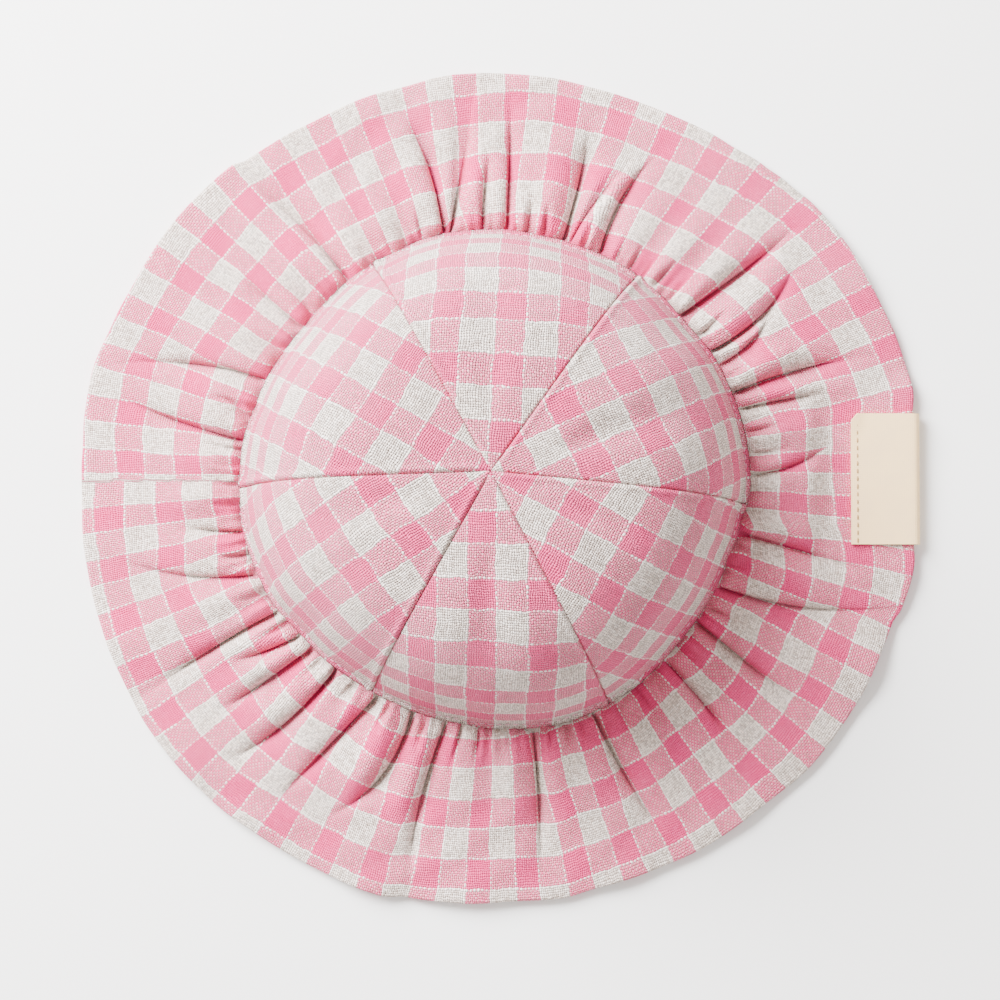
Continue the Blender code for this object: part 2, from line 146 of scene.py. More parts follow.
# The gathers' creases: angle at seam, at half the reach, at tip, reach from seam to edge, depth share, valley
# (a share by which its slope is wider, past the crease if positive and before it if negative)
CREASES = (
    (1.8, 3.2, 6.5, 0.50, 0.60, 0.0), (7.0, 6.6, 6.2, 0.26, 0.70, 0.0), (11.8, 11.6, 11.5, 0.22, 0.55, 0.0),
    (17.0, 16.4, 15.4, 0.50, 0.85, 0.5), (21.1, 20.8, 18.9, 0.82, 1.00, -0.5),
    (24.8, 25.0, 25.2, 0.18, 0.40, 0.0), (28.0, 28.7, 31.0, 0.38, 0.75, 0.0),
    (31.8, 32.2, 35.6, 0.66, 1.00, 0.4), (36.3, 36.6, 38.4, 0.24, 0.65, 0.0),
    (42.6, 41.0, 40.7, 0.88, 1.00, 0.2), (46.8, 46.7, 46.6, 0.20, 0.35, 0.0),
    (51.6, 51.2, 50.6, 0.26, 0.65, 0.0), (54.8, 54.8, 54.8, 0.20, 0.40, 0.0),
    (58.2, 58.3, 58.5, 0.20, 0.40, 0.0), (62.0, 62.0, 62.0, 0.20, 0.35, 0.0),
    (65.8, 66.5, 64.0, 0.74, 0.90, 0.3), (69.8, 69.6, 69.4, 0.18, 0.35, 0.0),
    (73.2, 71.0, 67.8, 0.60, 0.50, 0.0), (74.9, 74.8, 75.6, 0.78, 1.00, -0.3),
    (79.2, 79.5, 79.8, 0.22, 0.55, 0.0), (83.2, 83.0, 82.6, 0.26, 0.60, 0.0),
    (87.8, 87.8, 88.0, 0.90, 0.75, 0.0), (93.4, 92.6, 91.4, 0.46, 0.65, -0.4),
    (100.8, 95.9, 93.0, 1.00, 0.90, -0.3), (102.2, 102.2, 105.5, 1.00, 1.00, -0.5),
    (107.4, 106.8, 105.9, 0.22, 0.60, 0.0), (110.8, 110.4, 109.8, 0.24, 0.35, 0.0),
    (114.5, 114.5, 114.5, 0.20, 0.40, 0.0), (120.0, 120.0, 120.0, 0.18, 0.30, 0.0),
    (126.4, 127.2, 129.8, 0.98, 1.15, -0.4), (131.8, 132.0, 132.4, 0.20, 0.30, 0.0),
    (138.0, 136.8, 135.6, 0.26, 0.85, 0.0), (141.6, 141.3, 141.0, 0.46, 0.70, 0.0),
    (148.0, 148.2, 148.5, 0.24, 0.55, 0.0), (155.7, 158.4, 163.2, 0.94, 0.80, -0.5),
    (165.9, 162.8, 160.6, 0.30, 0.60, 0.0), (170.4, 168.9, 167.0, 0.84, 0.88, 0.3),
    (172.7, 172.4, 173.0, 0.28, 0.50, 0.0), (176.5, 176.5, 176.5, 0.20, 0.35, 0.0),
    (180.5, 180.5, 180.5, 0.20, 0.35, 0.0), (185.0, 184.8, 184.5, 0.22, 0.40, 0.0),
    (190.8, 189.6, 188.2, 0.36, 0.65, 0.0), (196.2, 195.5, 195.0, 0.22, 0.60, 0.0),
    (201.1, 196.6, 190.8, 0.84, 0.58, -0.4), (205.2, 205.1, 205.0, 0.20, 0.40, 0.0),
    (210.3, 210.1, 211.2, 1.00, 1.00, 0.9), (214.2, 214.0, 213.8, 0.16, 0.40, 0.0),
    (217.9, 216.4, 214.5, 0.36, 0.75, 0.0), (221.8, 220.6, 219.4, 0.62, 0.85, 0.3),
    (225.5, 225.1, 224.8, 0.18, 0.50, 0.0), (229.2, 228.6, 225.4, 0.82, 1.00, 0.9),
    (234.2, 233.7, 233.2, 0.20, 0.50, 0.0), (240.8, 237.4, 235.4, 0.78, 0.95, 0.4),
    (244.6, 243.8, 243.0, 0.20, 0.45, 0.0), (249.4, 248.9, 243.2, 0.72, 1.00, 0.7),
    (253.6, 253.2, 252.8, 0.22, 0.50, 0.0), (258.0, 256.4, 257.9, 1.00, 1.00, 0.9),
    (261.8, 261.0, 260.6, 0.30, 0.65, 0.0), (266.0, 265.8, 265.6, 0.20, 0.50, 0.0),
    (272.6, 271.7, 270.8, 0.28, 0.45, 0.0), (278.3, 277.4, 276.2, 0.90, 0.95, 0.2),
    (281.8, 281.6, 281.4, 0.20, 0.45, 0.0), (285.6, 285.5, 285.4, 0.20, 0.45, 0.0),
    (289.2, 289.3, 289.4, 0.20, 0.45, 0.0), (292.5, 293.7, 296.2, 0.94, 1.00, -0.3),
    (298.0, 298.2, 298.4, 0.22, 0.50, 0.0), (304.2, 304.3, 304.4, 0.22, 0.50, 0.0),
    (308.6, 308.5, 308.4, 0.20, 0.45, 0.0), (313.4, 313.1, 312.2, 0.68, 0.90, -0.9),
    (318.0, 317.9, 317.8, 0.22, 0.50, 0.0), (321.8, 321.7, 321.6, 0.16, 0.40, 0.0),
    (325.4, 324.3, 324.4, 0.90, 0.95, 0.2), (329.2, 329.8, 330.4, 0.22, 0.60, 0.0),
    (334.9, 337.9, 343.0, 1.00, 1.00, -0.9), (340.4, 340.8, 341.2, 0.14, 0.40, 0.0),
    (345.0, 344.8, 344.6, 0.22, 0.50, 0.0), (348.6, 347.6, 346.6, 0.78, 0.88, 0.2),
    (354.0, 353.6, 353.2, 0.26, 0.45, 0.0), (357.8, 357.8, 357.8, 0.16, 0.35, 0.0),
)
AT_SEAM, AT_HALF, AT_TIP, REACH, DEPTH, VALLEY = np.array(CREASES).T

# Creases that reach less far than this are carried along by the longer ones
SHORT_REACH = 0.36

# How far in from the brim's edge the first dark row starts, in metres: angle past the strip's join, distance
ROW_DRIFT = (
    (179.5, 0.0050), (202.0, 0.0045), (230.0, 0.0043), (256.0, 0.0048), (275.0, 0.0048), (300.0, 0.0065),
    (320.0, 0.0084), (338.0, 0.0116), (345.0, 0.0128), (353.0, 0.0155), (363.0, 0.0170), (376.0, 0.0177),
    (390.0, 0.0203), (402.0, 0.0218), (415.0, 0.0238), (440.0, 0.0250), (458.0, 0.0276), (475.0, 0.0283),
    (500.0, 0.0294), (539.5, 0.0309),
)

# How far the dark columns stand from an even spread: angle past the strip's join, degrees
COLUMN_DRIFT = (
    (179.5, -0.3), (265.0, -0.3), (290.0, 0.2), (330.0, -0.1), (354.0, 0.2), (371.0, 1.3), (388.0, 1.5),
    (418.0, 1.5), (433.0, 1.2), (448.0, 0.5), (460.0, 0.6), (470.0, 1.2), (500.0, 1.0), (515.0, 0.7),
    (539.5, 0.6),
)

# Each gore's checks: offset of a dark column from its middle, distance of a dark row from the top, lean
GORE_CHECKS = (
    (0.0029, 0.0095, 0.0),
    (-0.0011, 0.0180, 0.0),
    (-0.0038, 0.0105, 2.0),
    (0.0024, 0.0159, 0.0),
    (-0.0022, 0.0270, 6.0),
    (-0.0082, 0.0266, 0.0),
)

# The lights: name, place, power in watts, size
LIGHTS = (
    ("window", (-0.72, 0.65, 0.70), 104.0, 0.75),
    ("fill", (1.2, -0.6, 1.3), 4.0, 1.6),
)


def smooth_step(low: Numbers, high: Numbers, value: Numbers) -> np.ndarray:
    """Return a smooth rise of value, from 0 at low to 1 at high."""
    share = np.clip((np.asarray(value, float) - low) / (high - low), 0.0, 1.0)
    return share * share * (3.0 - 2.0 * share)


def turn_between(angle: Numbers, middle: float) -> np.ndarray:
    """Return the signed turn from middle to angle, from -180 to 180."""
    return (np.asarray(angle, float) - middle + 180.0) % 360.0 - 180.0


def curve_value(rows: tuple, column: int, at: Numbers) -> np.ndarray:
    """Read a column of a table with a smooth curve through its rows.

    Args:
        rows: Rows that start with their place, in order.
        column: The column to read.
        at: Places to read it at.

    Returns:
        The values, on a monotone cubic through the rows.
    """
    xs = np.array([row[0] for row in rows], float)
    ys = np.array([row[column] for row in rows], float)
    steps = np.diff(xs)
    slopes = np.diff(ys) / steps
    tangents = np.zeros(len(xs))
    same = slopes[:-1] * slopes[1:] > 0.0
    tangents[1:-1][same] = 2.0 / (1.0 / slopes[:-1][same] + 1.0 / slopes[1:][same])
    tangents[0], tangents[-1] = slopes[0], slopes[-1]
    at = np.clip(np.asarray(at, float), xs[0], xs[-1])
    i = np.clip(np.searchsorted(xs, at, side="right") - 1, 0, len(steps) - 1)
    t = (at - xs[i]) / steps[i]
    rise = ys[i] * (2 * t**3 - 3 * t**2 + 1) + ys[i + 1] * (3 * t**2 - 2 * t**3)
    return rise + steps[i] * (tangents[i] * (t**3 - 2 * t**2 + t) + tangents[i + 1] * (t**3 - t**2))


def outline_value(rows: tuple, angle: Numbers) -> np.ndarray:
    """Read a closed outline's radius share at an angle.

    Args:
        rows: Rows of angle and radius share.
        angle: Angles to read it at.

    Returns:
        The radius shares, with a smooth wrap past 360.
    """
    closed = [(rows[-1][0] - 360.0, rows[-1][1]), *rows, (rows[0][0] + 360.0, rows[0][1])]
    xs = np.array([row[0] for row in closed], float)
    ys = np.array([row[1] for row in closed], float)
    at = np.asarray(angle, float) % 360.0
    i = np.clip(np.searchsorted(xs, at, side="right") - 1, 0, len(xs) - 2)
    t = smooth_step(0.0, 1.0, (at - xs[i]) / (xs[i + 1] - xs[i]))
    return ys[i] + t * (ys[i + 1] - ys[i])


def seam_radius(angle: Numbers) -> np.ndarray:
    """Return the radius of the crown's seam line at an angle."""
    return CROWN_RADIUS * outline_value(SEAM_OUTLINE, angle)


def edge_radius(angle: Numbers) -> np.ndarray:
    """Return the radius of the brim's edge, which the label's fold keeps straight."""
    free = BRIM_RADIUS * outline_value(EDGE_OUTLINE, angle)
    turn = np.radians(np.clip(turn_between(angle, 0.0), -20.0, 20.0))
    straight = (LABEL_OUTER_X - EDGE_INSIDE_LABEL) / np.cos(turn)
    held = 1.0 - smooth_step(*LABEL_HOLD, np.abs(turn_between(angle, LABEL_ANGLE)))
    return free + held * (np.minimum(free, straight) - free)


def bell(distance: np.ndarray, half_width: Numbers, power: float = 2.0) -> np.ndarray:
    """Return a smooth hump, 1 high at no distance and lower with distance."""
    return np.exp(-((np.abs(distance) / half_width) ** power))


def plain_radius(out: float) -> float:
    """Return the brim's even radius at a share of the way out."""
    return CROWN_RADIUS + out * (BRIM_RADIUS - CROWN_RADIUS)


def waves(seed: int, count: int, low: float, high: float, at: np.ndarray) -> np.ndarray:
    """Add up sine waves of random length and phase.

    Args:
        seed: Seed of the random numbers.
        count: How many waves.
        low: Fewest waves in a turn.
        high: Most waves in a turn.
        at: Angles in degrees.

    Returns:
        Heights of about -1 to 1.
    """
    dice = np.random.default_rng(seed)
    total = np.zeros_like(at)
    for _ in range(count):
        number = round(dice.uniform(low, high))
        total += np.sin(np.radians(at) * number + dice.uniform(0.0, 2.0 * math.pi))
    return total / math.sqrt(count)


def add_object(name: str, data: bpy.types.ID) -> Object:
    """Return a new object in the scene, at the origin."""
    item = bpy.data.objects.new(name, data)
    bpy.context.scene.collection.objects.link(item)
    return item


def mesh_piece(name: str, grid: np.ndarray, uv: np.ndarray | None, wrap: bool) -> Object:
    """Make a closed shell from a grid of points whose last row joins the first.

    Args:
        name: The piece's name.
        grid: Points, rows by columns by 3.
        uv: The cloth's own coordinates, rows + 1 by columns + 1 by 2, or None.
        wrap: Whether the last column joins the first, or both ends are closed.

    Returns:
        The object, smooth, at the origin.
    """
    rows, columns = grid.shape[:2]
    rr, cc = np.meshgrid(np.arange(rows), np.arange(columns if wrap else columns - 1), indexing="ij")
    this_row, next_row = rr * columns, (rr + 1) % rows * columns
    next_c = (cc + 1) % columns
    quads = np.stack([this_row + cc, next_row + cc, next_row + next_c, this_row + next_c], -1)
    quads = quads.reshape(-1, 4)
    side = np.arange(rows // 2 - 1)
    ends = np.stack([side + 1, side, rows - 1 - side, rows - 2 - side], -1)
    if not wrap:
        quads = np.concatenate([quads, ends * columns, ends[:, ::-1] * columns + columns - 1])
    mesh = bpy.data.meshes.new(name)
    mesh.from_pydata(grid.reshape(-1, 3).tolist(), [], quads.tolist())
    if uv is not None:
        corners = np.stack([uv[rr, cc], uv[rr + 1, cc], uv[rr + 1, cc + 1], uv[rr, cc + 1]], -2)
        parts = [corners.reshape(-1, 2)]
        if not wrap:
            parts += [uv[ends, 0].reshape(-1, 2), uv[ends[:, ::-1], columns - 1].reshape(-1, 2)]
        layer = mesh.uv_layers.new(name="cloth")
        layer.data.foreach_set("uv", np.concatenate(parts).reshape(-1).astype(np.float32))
    mesh.shade_smooth()
    return add_object(name, mesh)


def math_node(operation: str, swapped: bool = False) -> Callable[..., "Maths"]:
    """Make a method that adds a Math node.

    Args:
        operation: The node's operation.
        swapped: Whether the method's own socket comes last.

    Returns:
        The method.
    """

    def method(self: "Maths", *others: "Maths | float") -> "Maths":
        """Return the node's result."""
        values = (*others, self) if swapped else (self, *others)
        return self.finish.node("ShaderNodeMath", {"operation": operation}, dict(enumerate(values)))

    return method


class Maths:
    """A socket that takes part in Python expressions, which add Math nodes."""

    def __init__(self, finish: "NodeFinish", socket: bpy.types.NodeSocket) -> None:
        """Wrap a socket of a finish's node tree."""
        self.finish = finish
        self.socket = socket

    __add__ = math_node("ADD")
    __radd__ = math_node("ADD", swapped=True)
    __sub__ = math_node("SUBTRACT")
    __rsub__ = math_node("SUBTRACT", swapped=True)
    __mul__ = math_node("MULTIPLY")
    __rmul__ = math_node("MULTIPLY", swapped=True)
    __gt__ = math_node("GREATER_THAN")
    __lt__ = math_node("LESS_THAN")
    floor = math_node("FLOOR")
    part = math_node("FRACT")
    sine = math_node("SINE")
    size = math_node("ABSOLUTE")
    highest = math_node("MAXIMUM")
    rest_of = math_node("FLOORED_MODULO")

    def ramp(self, low: float, high: float) -> "Maths":
        """Return an even rise of self from 0 at low to 1 at high."""
        values = {0: self, 1: low, 2: high, 3: 0.0, 4: 1.0}
        return self.finish.node("ShaderNodeMapRange", {"interpolation_type": "SMOOTHSTEP"}, values)


class NodeFinish:
    """A material that is built of nodes."""

    def __init__(self, name: str, shown: tuple[float, float, float]) -> None:
        """Start a material with one Principled shader.

        Args:
            name: The material's name.
            shown: The colour in plain viewports.
        """
        self.material = bpy.data.materials.new(name)
        self.material.use_nodes = True
        self.material.diffuse_color = (*shown, 1.0)
        self.tree = self.material.node_tree
        self.shader = self.tree.nodes["Principled BSDF"]

    def node(self, kind: str, settings: dict, values: dict, output: int | str = 0) -> Maths:
        """Add a node.

        Args:
            kind: The node's type.
            settings: Its properties, set first.
            values: Its inputs by name or number, as values or links.
            output: The output to return.

        Returns:
            The output, wrapped.
        """
        node = self.tree.nodes.new(kind)
        for key, value in settings.items():
            setattr(node, key, value)
        for key, value in values.items():
            self.feed(node.inputs[key], value)
        return Maths(self, node.outputs[output])

    def feed(self, socket: bpy.types.NodeSocket, value: object) -> None:
        """Set or link one input."""
        if isinstance(value, Maths):
            self.tree.links.new(value.socket, socket)
        else:
            socket.default_value = value

    def mix(self, share: Maths | float, low: object, high: object) -> Maths:
        """Return two colours mixed, low where share is 0 and high where it is 1."""
        return self.node("ShaderNodeMix", {"data_type": "RGBA"}, {0: share, 6: low, 7: high}, 2)

    def split(self, vector: Maths) -> tuple[Maths, Maths]:
        """Return the first two parts of a vector."""
        x = self.node("ShaderNodeSeparateXYZ", {}, {0: vector})
        return x, Maths(self, x.socket.node.outputs[1])

    def place(self) -> Maths:
        """Return the object's own coordinates."""
        return self.node("ShaderNodeTexCoord", {}, {}, "Object")

    def join(self, x: Maths | float, y: Maths | float, z: Maths | float = 0.0) -> Maths:
        """Return a vector of three parts."""
        return self.node("ShaderNodeCombineXYZ", {}, {0: x, 1: y, 2: z})

    def noise(self, at: Maths, scale: float, detail: float = 2.0, shift: float = 0.0) -> Maths:
        """Make soft noise.

        Args:
            at: Where it is read.
            scale: How fine it is.
            detail: How many finer layers it has.
            shift: How far the place is moved along each axis, to set it apart.

        Returns:
            Values of about 0 to 1.
        """
        if shift:
            values = {0: at, 1: (shift, shift, shift)}
            at = self.node("ShaderNodeVectorMath", {"operation": "ADD"}, values)
        values = {"Vector": at, "Scale": scale, "Detail": detail}
        return self.node("ShaderNodeTexNoise", {"noise_dimensions": "3D"}, values)

    def dice(self, at: Maths) -> Maths:
        """Return a random number from 0 to 1 for a vector of whole numbers."""
        return self.node("ShaderNodeTexWhiteNoise", {"noise_dimensions": "3D"}, {"Vector": at})

    def bump(self, strength: float, distance: float, height: Maths) -> Maths:
        """Return a normal that is bent by a height."""
        values = {"Strength": strength, "Distance": distance, "Height": height}
        return self.node("ShaderNodeBump", {}, values)

    def dress(self, values: dict) -> Material:
        """Set or link the shader's inputs by name, and return the material."""
        for key, value in values.items():
            self.feed(self.shader.inputs[key], value)
        return self.material


@dataclass(frozen=True)
class YarnSet:
    """One set of a cloth's yarns, as sockets of its finish."""

    number: Maths
    height: Maths
    pink: Maths
    bright: Maths
    colour: Maths


@dataclass(frozen=True)
class CheckedCloth:
    """Plain woven checks of pink and off-white yarn, with a brighter yarn at each change of colour.

    The piece's map counts checks: one pink and one white stripe are 1 unit wide.
    """

    name: str
    yarns: int = 26
    pink_yarns: int = 12
    pink: Colour = (0.79, 0.052, 0.19, 1.0)
    pale_pink: Colour = (0.86, 0.085, 0.245, 1.0)
    mixed: Colour = (0.85, 0.12, 0.26, 1.0)
    white: Colour = (0.90, 0.76, 0.68, 1.0)
    dull_white: Colour = (0.42, 0.32, 0.27, 1.0)
    bright: Colour = (0.95, 0.90, 0.86, 1.0)
    # Painted shade for the gaps between yarns and each yarn's low sides: near-black among white yarns, dark
    # pink among pink ones
    gap_shade: Colour = (0.05, 0.032, 0.03, 1.0)
    pink_gap_shade: Colour = (0.15, 0.006, 0.025, 1.0)
    yarn_height: float = 0.00029
    over_and_under: float = 0.62
    wander: float = 1.7
    sway: float = 4.5
    # How strong the painted shade in the weave is, and up to which yarn height it reaches
    gap_shade_strength: float = 1.12
    gap_shade_reach: float = 0.84
    fuzz: float = 0.05
    flecks: float = 0.70

    def build(self) -> Material:
        """Return the cloth's material."""
        f = NodeFinish(self.name, (0.9, 0.6, 0.68))
        u, v = f.split(f.node("ShaderNodeUVMap", {"uv_map": "cloth"}, {}))
        place = f.place()
        fine = f.noise(place, 260.0, 4.0) - 0.5
        slow = f.noise(f.join(v, u, 7.0), 9.0, 3.0) - 0.5
        sway_x, sway_y = f.noise(place, 32.0) - 0.5, f.noise(place, 32.0, shift=3.0) - 0.5
        across = u * self.yarns + fine * self.wander + slow * 0.7 + sway_x * self.sway
        along = v * self.yarns + slow - fine * self.wander + sway_y * self.sway
        columns = self._yarns(f, across, along, self.over_and_under, 0.25, 1.0)
        rows = self._yarns(f, along, across, -self.over_and_under, 0.45, 4.0)
        column_on_top = columns.height > rows.height
        top = columns.height.highest(rows.height)
        pinkness = (columns.pink + rows.pink) * 0.5
        colour = f.mix(column_on_top, rows.colour, columns.colour)
        blend = 0.50 + 0.4 * f.noise(place, 420.0, 3.0, shift=1.0)
        colour = f.mix((columns.pink - rows.pink).size() * blend, colour, self.mixed)
        speck = f.dice(f.join(columns.number, rows.number, 2.0)).ramp(0.35, 1.0)
        speck = speck * (0.45 + f.noise(place, 900.0, shift=11.0)) * self.flecks
        colour = f.mix(speck, colour, f.mix(pinkness, self.dull_white, self.pink))
        worn = 0.25 + 0.75 * f.noise(place, 240.0, shift=9.0).ramp(0.36, 0.60)
        shown = rows.bright * 0.85 + (columns.bright - rows.bright * 0.85) * column_on_top
        colour = f.mix(shown * worn, colour, self.bright)
        # Painted shade: where the yarns lie low, between them and on their rounded sides, the colour is
        # darkened in patches towards the shade colours
        gap_shading = (1.0 - top.ramp(0.05, self.gap_shade_reach)) * self.gap_shade_strength
        gap_shading = gap_shading * (0.1 + 1.9 * f.noise(place, 620.0, 3.0, shift=5.0))
        colour = f.mix(gap_shading, colour, f.mix(pinkness, self.gap_shade, self.pink_gap_shade))
        faded = (f.noise(place, 38.0) - 0.5).size() * 0.22
        colour = f.mix(faded, colour, self.bright)
        return f.dress({
            "Base Color": colour,
            "Normal": f.bump(1.0, self.yarn_height, top + f.noise(place, 2600.0) * 0.35),
            "Roughness": 0.88,
            "Specular IOR Level": 0.1,
            "Sheen Weight": self.fuzz,
            "Sheen Roughness": 0.45,
        })

    def _yarns(
        self, f: NodeFinish, across: Maths, along: Maths, rise: float, proud: float, seed: float
    ) -> YarnSet:
        """Work out one set of yarns.

        Args:
            f: The finish that it is built in.
            across: Place across the yarns, in yarns.
            along: Place along them.
            rise: How far they go over and under the other set, with its sign.
            proud: How far a bright yarn stands out.
            seed: Sets the random numbers of this set apart.

        Returns:
            The yarns' numbers, height, whether each is pink or bright, and colour.
        """
        number = across.floor()
        side = across.part() - 0.5
        place = number.rest_of(float(self.yarns))
        pink = place < self.pink_yarns - 0.5
        bright = ((place - self.pink_yarns).size() < 0.5).highest(place > self.yarns - 1.5)
        thick = f.noise(f.join(number * 1.7, along * 0.11, seed + 1.0), 1.0) * 0.5
        thick = f.dice(f.join(number, 2.0 * seed + 1.0)) * 0.30 + thick
        over = (1.0 - number.rest_of(2.0) * 2.0) * (along * math.pi).sine()
        height = 1.0 - side * side * (5.2 - thick * 2.6) + over * rise + bright * proud
        fleck = f.noise(f.join(number * 3.1, along * 0.45, seed), 1.0, 3.0)
        dull = f.noise(f.join(number * 2.3, along * 0.30, seed + 20.0), 1.0, 3.0)
        white = f.mix(f.dice(f.join(number, seed)) * 0.5, self.white, self.bright)
        white = f.mix(dull.ramp(0.46, 0.74) * 0.75, white, self.dull_white)
        shade = f.mix(pink, white, f.mix(fleck.ramp(0.38, 0.66), self.pink, self.pale_pink))
        return YarnSet(number, height, pink, bright, shade)


@dataclass(frozen=True)
class RibbonCloth:
    """Smooth cream ribbon with a very fine rib."""

    name: str
    cream: Colour = (0.95, 0.67, 0.34, 1.0)
    # Darker cream for random mottling and for the painted shade in the rib's grooves
    mottle_and_groove_shade: Colour = (0.82, 0.58, 0.34, 1.0)
    ribs: float = 9500.0

    def build(self) -> Material:
        """Return the ribbon's material."""
        f = NodeFinish(self.name, (0.93, 0.87, 0.79))
        place = f.place()
        x, y = f.split(place)
        rib, cross = ((axis * self.ribs).sine() * 0.5 + 0.5 for axis in (y, x))
        cloud = f.noise(place, 140.0, 3.0).ramp(0.35, 0.75)
        height = rib * 0.6 + cross * 0.4 + f.noise(place, 900.0) * 0.6
        return f.dress({
            # Random mottling, plus painted shade a little darker along the rib's low grooves
            "Base Color": f.mix(cloud * 0.35 + (1.0 - rib) * 0.12, self.cream, self.mottle_and_groove_shade),
            "Normal": f.bump(0.5, 0.00008, height),
            "Roughness": 0.72,
            "Sheen Weight": 0.12,
        })


class ThreadColour(Enum):
    """Sewing threads."""

    PINK = (0.86, 0.42, 0.54, 1.0)
    CREAM = (0.40, 0.23, 0.09, 1.0)


@dataclass(frozen=True)
class Thread:
    """Twisted sewing thread."""

    name: str
    colour: ThreadColour

    def build(self) -> Material:
        """Return the thread's material."""
        light = self.colour.value
        f = NodeFinish(self.name, light[:3])
        # Painted shade: patches of a darker copy of the thread's colour stand for the shade between its
        # twisted plies
        dark = tuple(c * 0.78 for c in light[:3]) + (1.0,)
        twist_shade = f.noise(f.place(), 700.0).ramp(0.3, 0.7)
        return f.dress({"Base Color": f.mix(twist_shade, dark, light), "Roughness": 0.6})


@dataclass(frozen=True)
class PaleFloor:
    """A plain white floor."""

    name: str = "floor_white"

    def build(self) -> Material:
        """Return the floor's material."""
        f = NodeFinish(self.name, (0.95, 0.95, 0.95))
        return f.dress({"Base Color": (0.97, 0.97, 0.97, 1.0), "Roughness": 0.95})


@dataclass
class StitchRow:
    """A row of stitches along a line, made by Geometry Nodes."""

    name: str
    line: np.ndarray
    pitch: float
    length: float
    width: float
    material: Material
    closed: bool = False
    seed: int = 3

    def _tree(self) -> tuple[bpy.types.NodeTree, dict[str, str]]:
        """Return the node tree and its inputs' identifiers by name."""
        tree = bpy.data.node_groups.new(self.name + "_tree", "GeometryNodeTree")
        socket = tree.interface.new_socket
        inputs = {
            label: socket(label, in_out="INPUT", socket_type="NodeSocket" + kind).identifier
            for label, kind in (
                ("Line", "Geometry"), ("Pitch", "Float"), ("Length", "Float"), ("Width", "Float"),
                ("Seed", "Int"), ("Thread", "Material"),
            )
        }
        socket("Stitches", in_out="OUTPUT", socket_type="NodeSocketGeometry")
        made = {
            name: tree.nodes.new(kind)
            for name, kind in (
                ("start", "NodeGroupInput"), ("end", "NodeGroupOutput"),
                ("curve", "GeometryNodeMeshToCurve"), ("spaced", "GeometryNodeResampleCurve"),
                ("bead", "GeometryNodeMeshUVSphere"), ("size", "ShaderNodeCombineXYZ"),
                ("tangent", "GeometryNodeInputTangent"), ("turn", "FunctionNodeAlignRotationToVector"),
                ("chance", "FunctionNodeRandomValue"), ("scaled", "ShaderNodeVectorMath"),
                ("place", "GeometryNodeInstanceOnPoints"), ("real", "GeometryNodeRealizeInstances"),
                ("dress", "GeometryNodeSetMaterial"),
            )
        }
        made["spaced"].mode = "LENGTH"
        made["turn"].axis = "X"
        made["chance"].data_type = "FLOAT"
        made["scaled"].operation = "SCALE"
        for name, key, value in (
            ("bead", "Segments", 6), ("bead", "Rings", 5), ("bead", "Radius", 0.5),
            ("chance", 2, 0.86), ("chance", 3, 1.12),
        ):
            made[name].inputs[key].default_value = value
        for name, output, target, key in (
            ("start", "Line", "curve", "Mesh"),
            ("curve", "Curve", "spaced", "Curve"),
            ("start", "Pitch", "spaced", "Length"),
            ("start", "Length", "size", 0),
            ("start", "Width", "size", 1),
            ("start", "Width", "size", 2),
            ("tangent", 0, "turn", "Vector"),
            ("start", "Seed", "chance", "Seed"),
            ("size", 0, "scaled", 0),
            ("chance", 1, "scaled", "Scale"),
            ("spaced", "Curve", "place", "Points"),
            ("bead", "Mesh", "place", "Instance"),
            ("turn", "Rotation", "place", "Rotation"),
            ("scaled", 0, "place", "Scale"),
            ("place", "Instances", "real", "Geometry"),
            ("real", "Geometry", "dress", "Geometry"),
            ("start", "Thread", "dress", "Material"),
            ("dress", "Geometry", "end", "Stitches"),
        ):
            tree.links.new(made[name].outputs[output], made[target].inputs[key])
        return tree, inputs

    def build(self) -> Object:
        """Return the row of stitches as a plain mesh."""
        count = len(self.line)
        edges = [(i, i + 1) for i in range(count - 1)] + ([(count - 1, 0)] if self.closed else [])
        guide_mesh = bpy.data.meshes.new(self.name + "_line")
        guide_mesh.from_pydata(self.line.tolist(), edges, [])
        guide = add_object(self.name + "_line", guide_mesh)
        tree, inputs = self._tree()
        sewing = guide.modifiers.new("stitches", "NODES")
        sewing.node_group = tree
        for label, value in (
            ("Pitch", self.pitch), ("Length", self.length), ("Width", self.width),
            ("Seed", self.seed), ("Thread", self.material),
        ):
            sewing[inputs[label]] = value
        graph = bpy.context.evaluated_depsgraph_get()
        mesh = bpy.data.meshes.new_from_object(guide.evaluated_get(graph), depsgraph=graph)
        mesh.name = self.name
        mesh.shade_smooth()
        item = add_object(self.name, mesh)
        guide.modifiers.remove(sewing)
        bpy.data.objects.remove(guide, do_unlink=True)
        return item


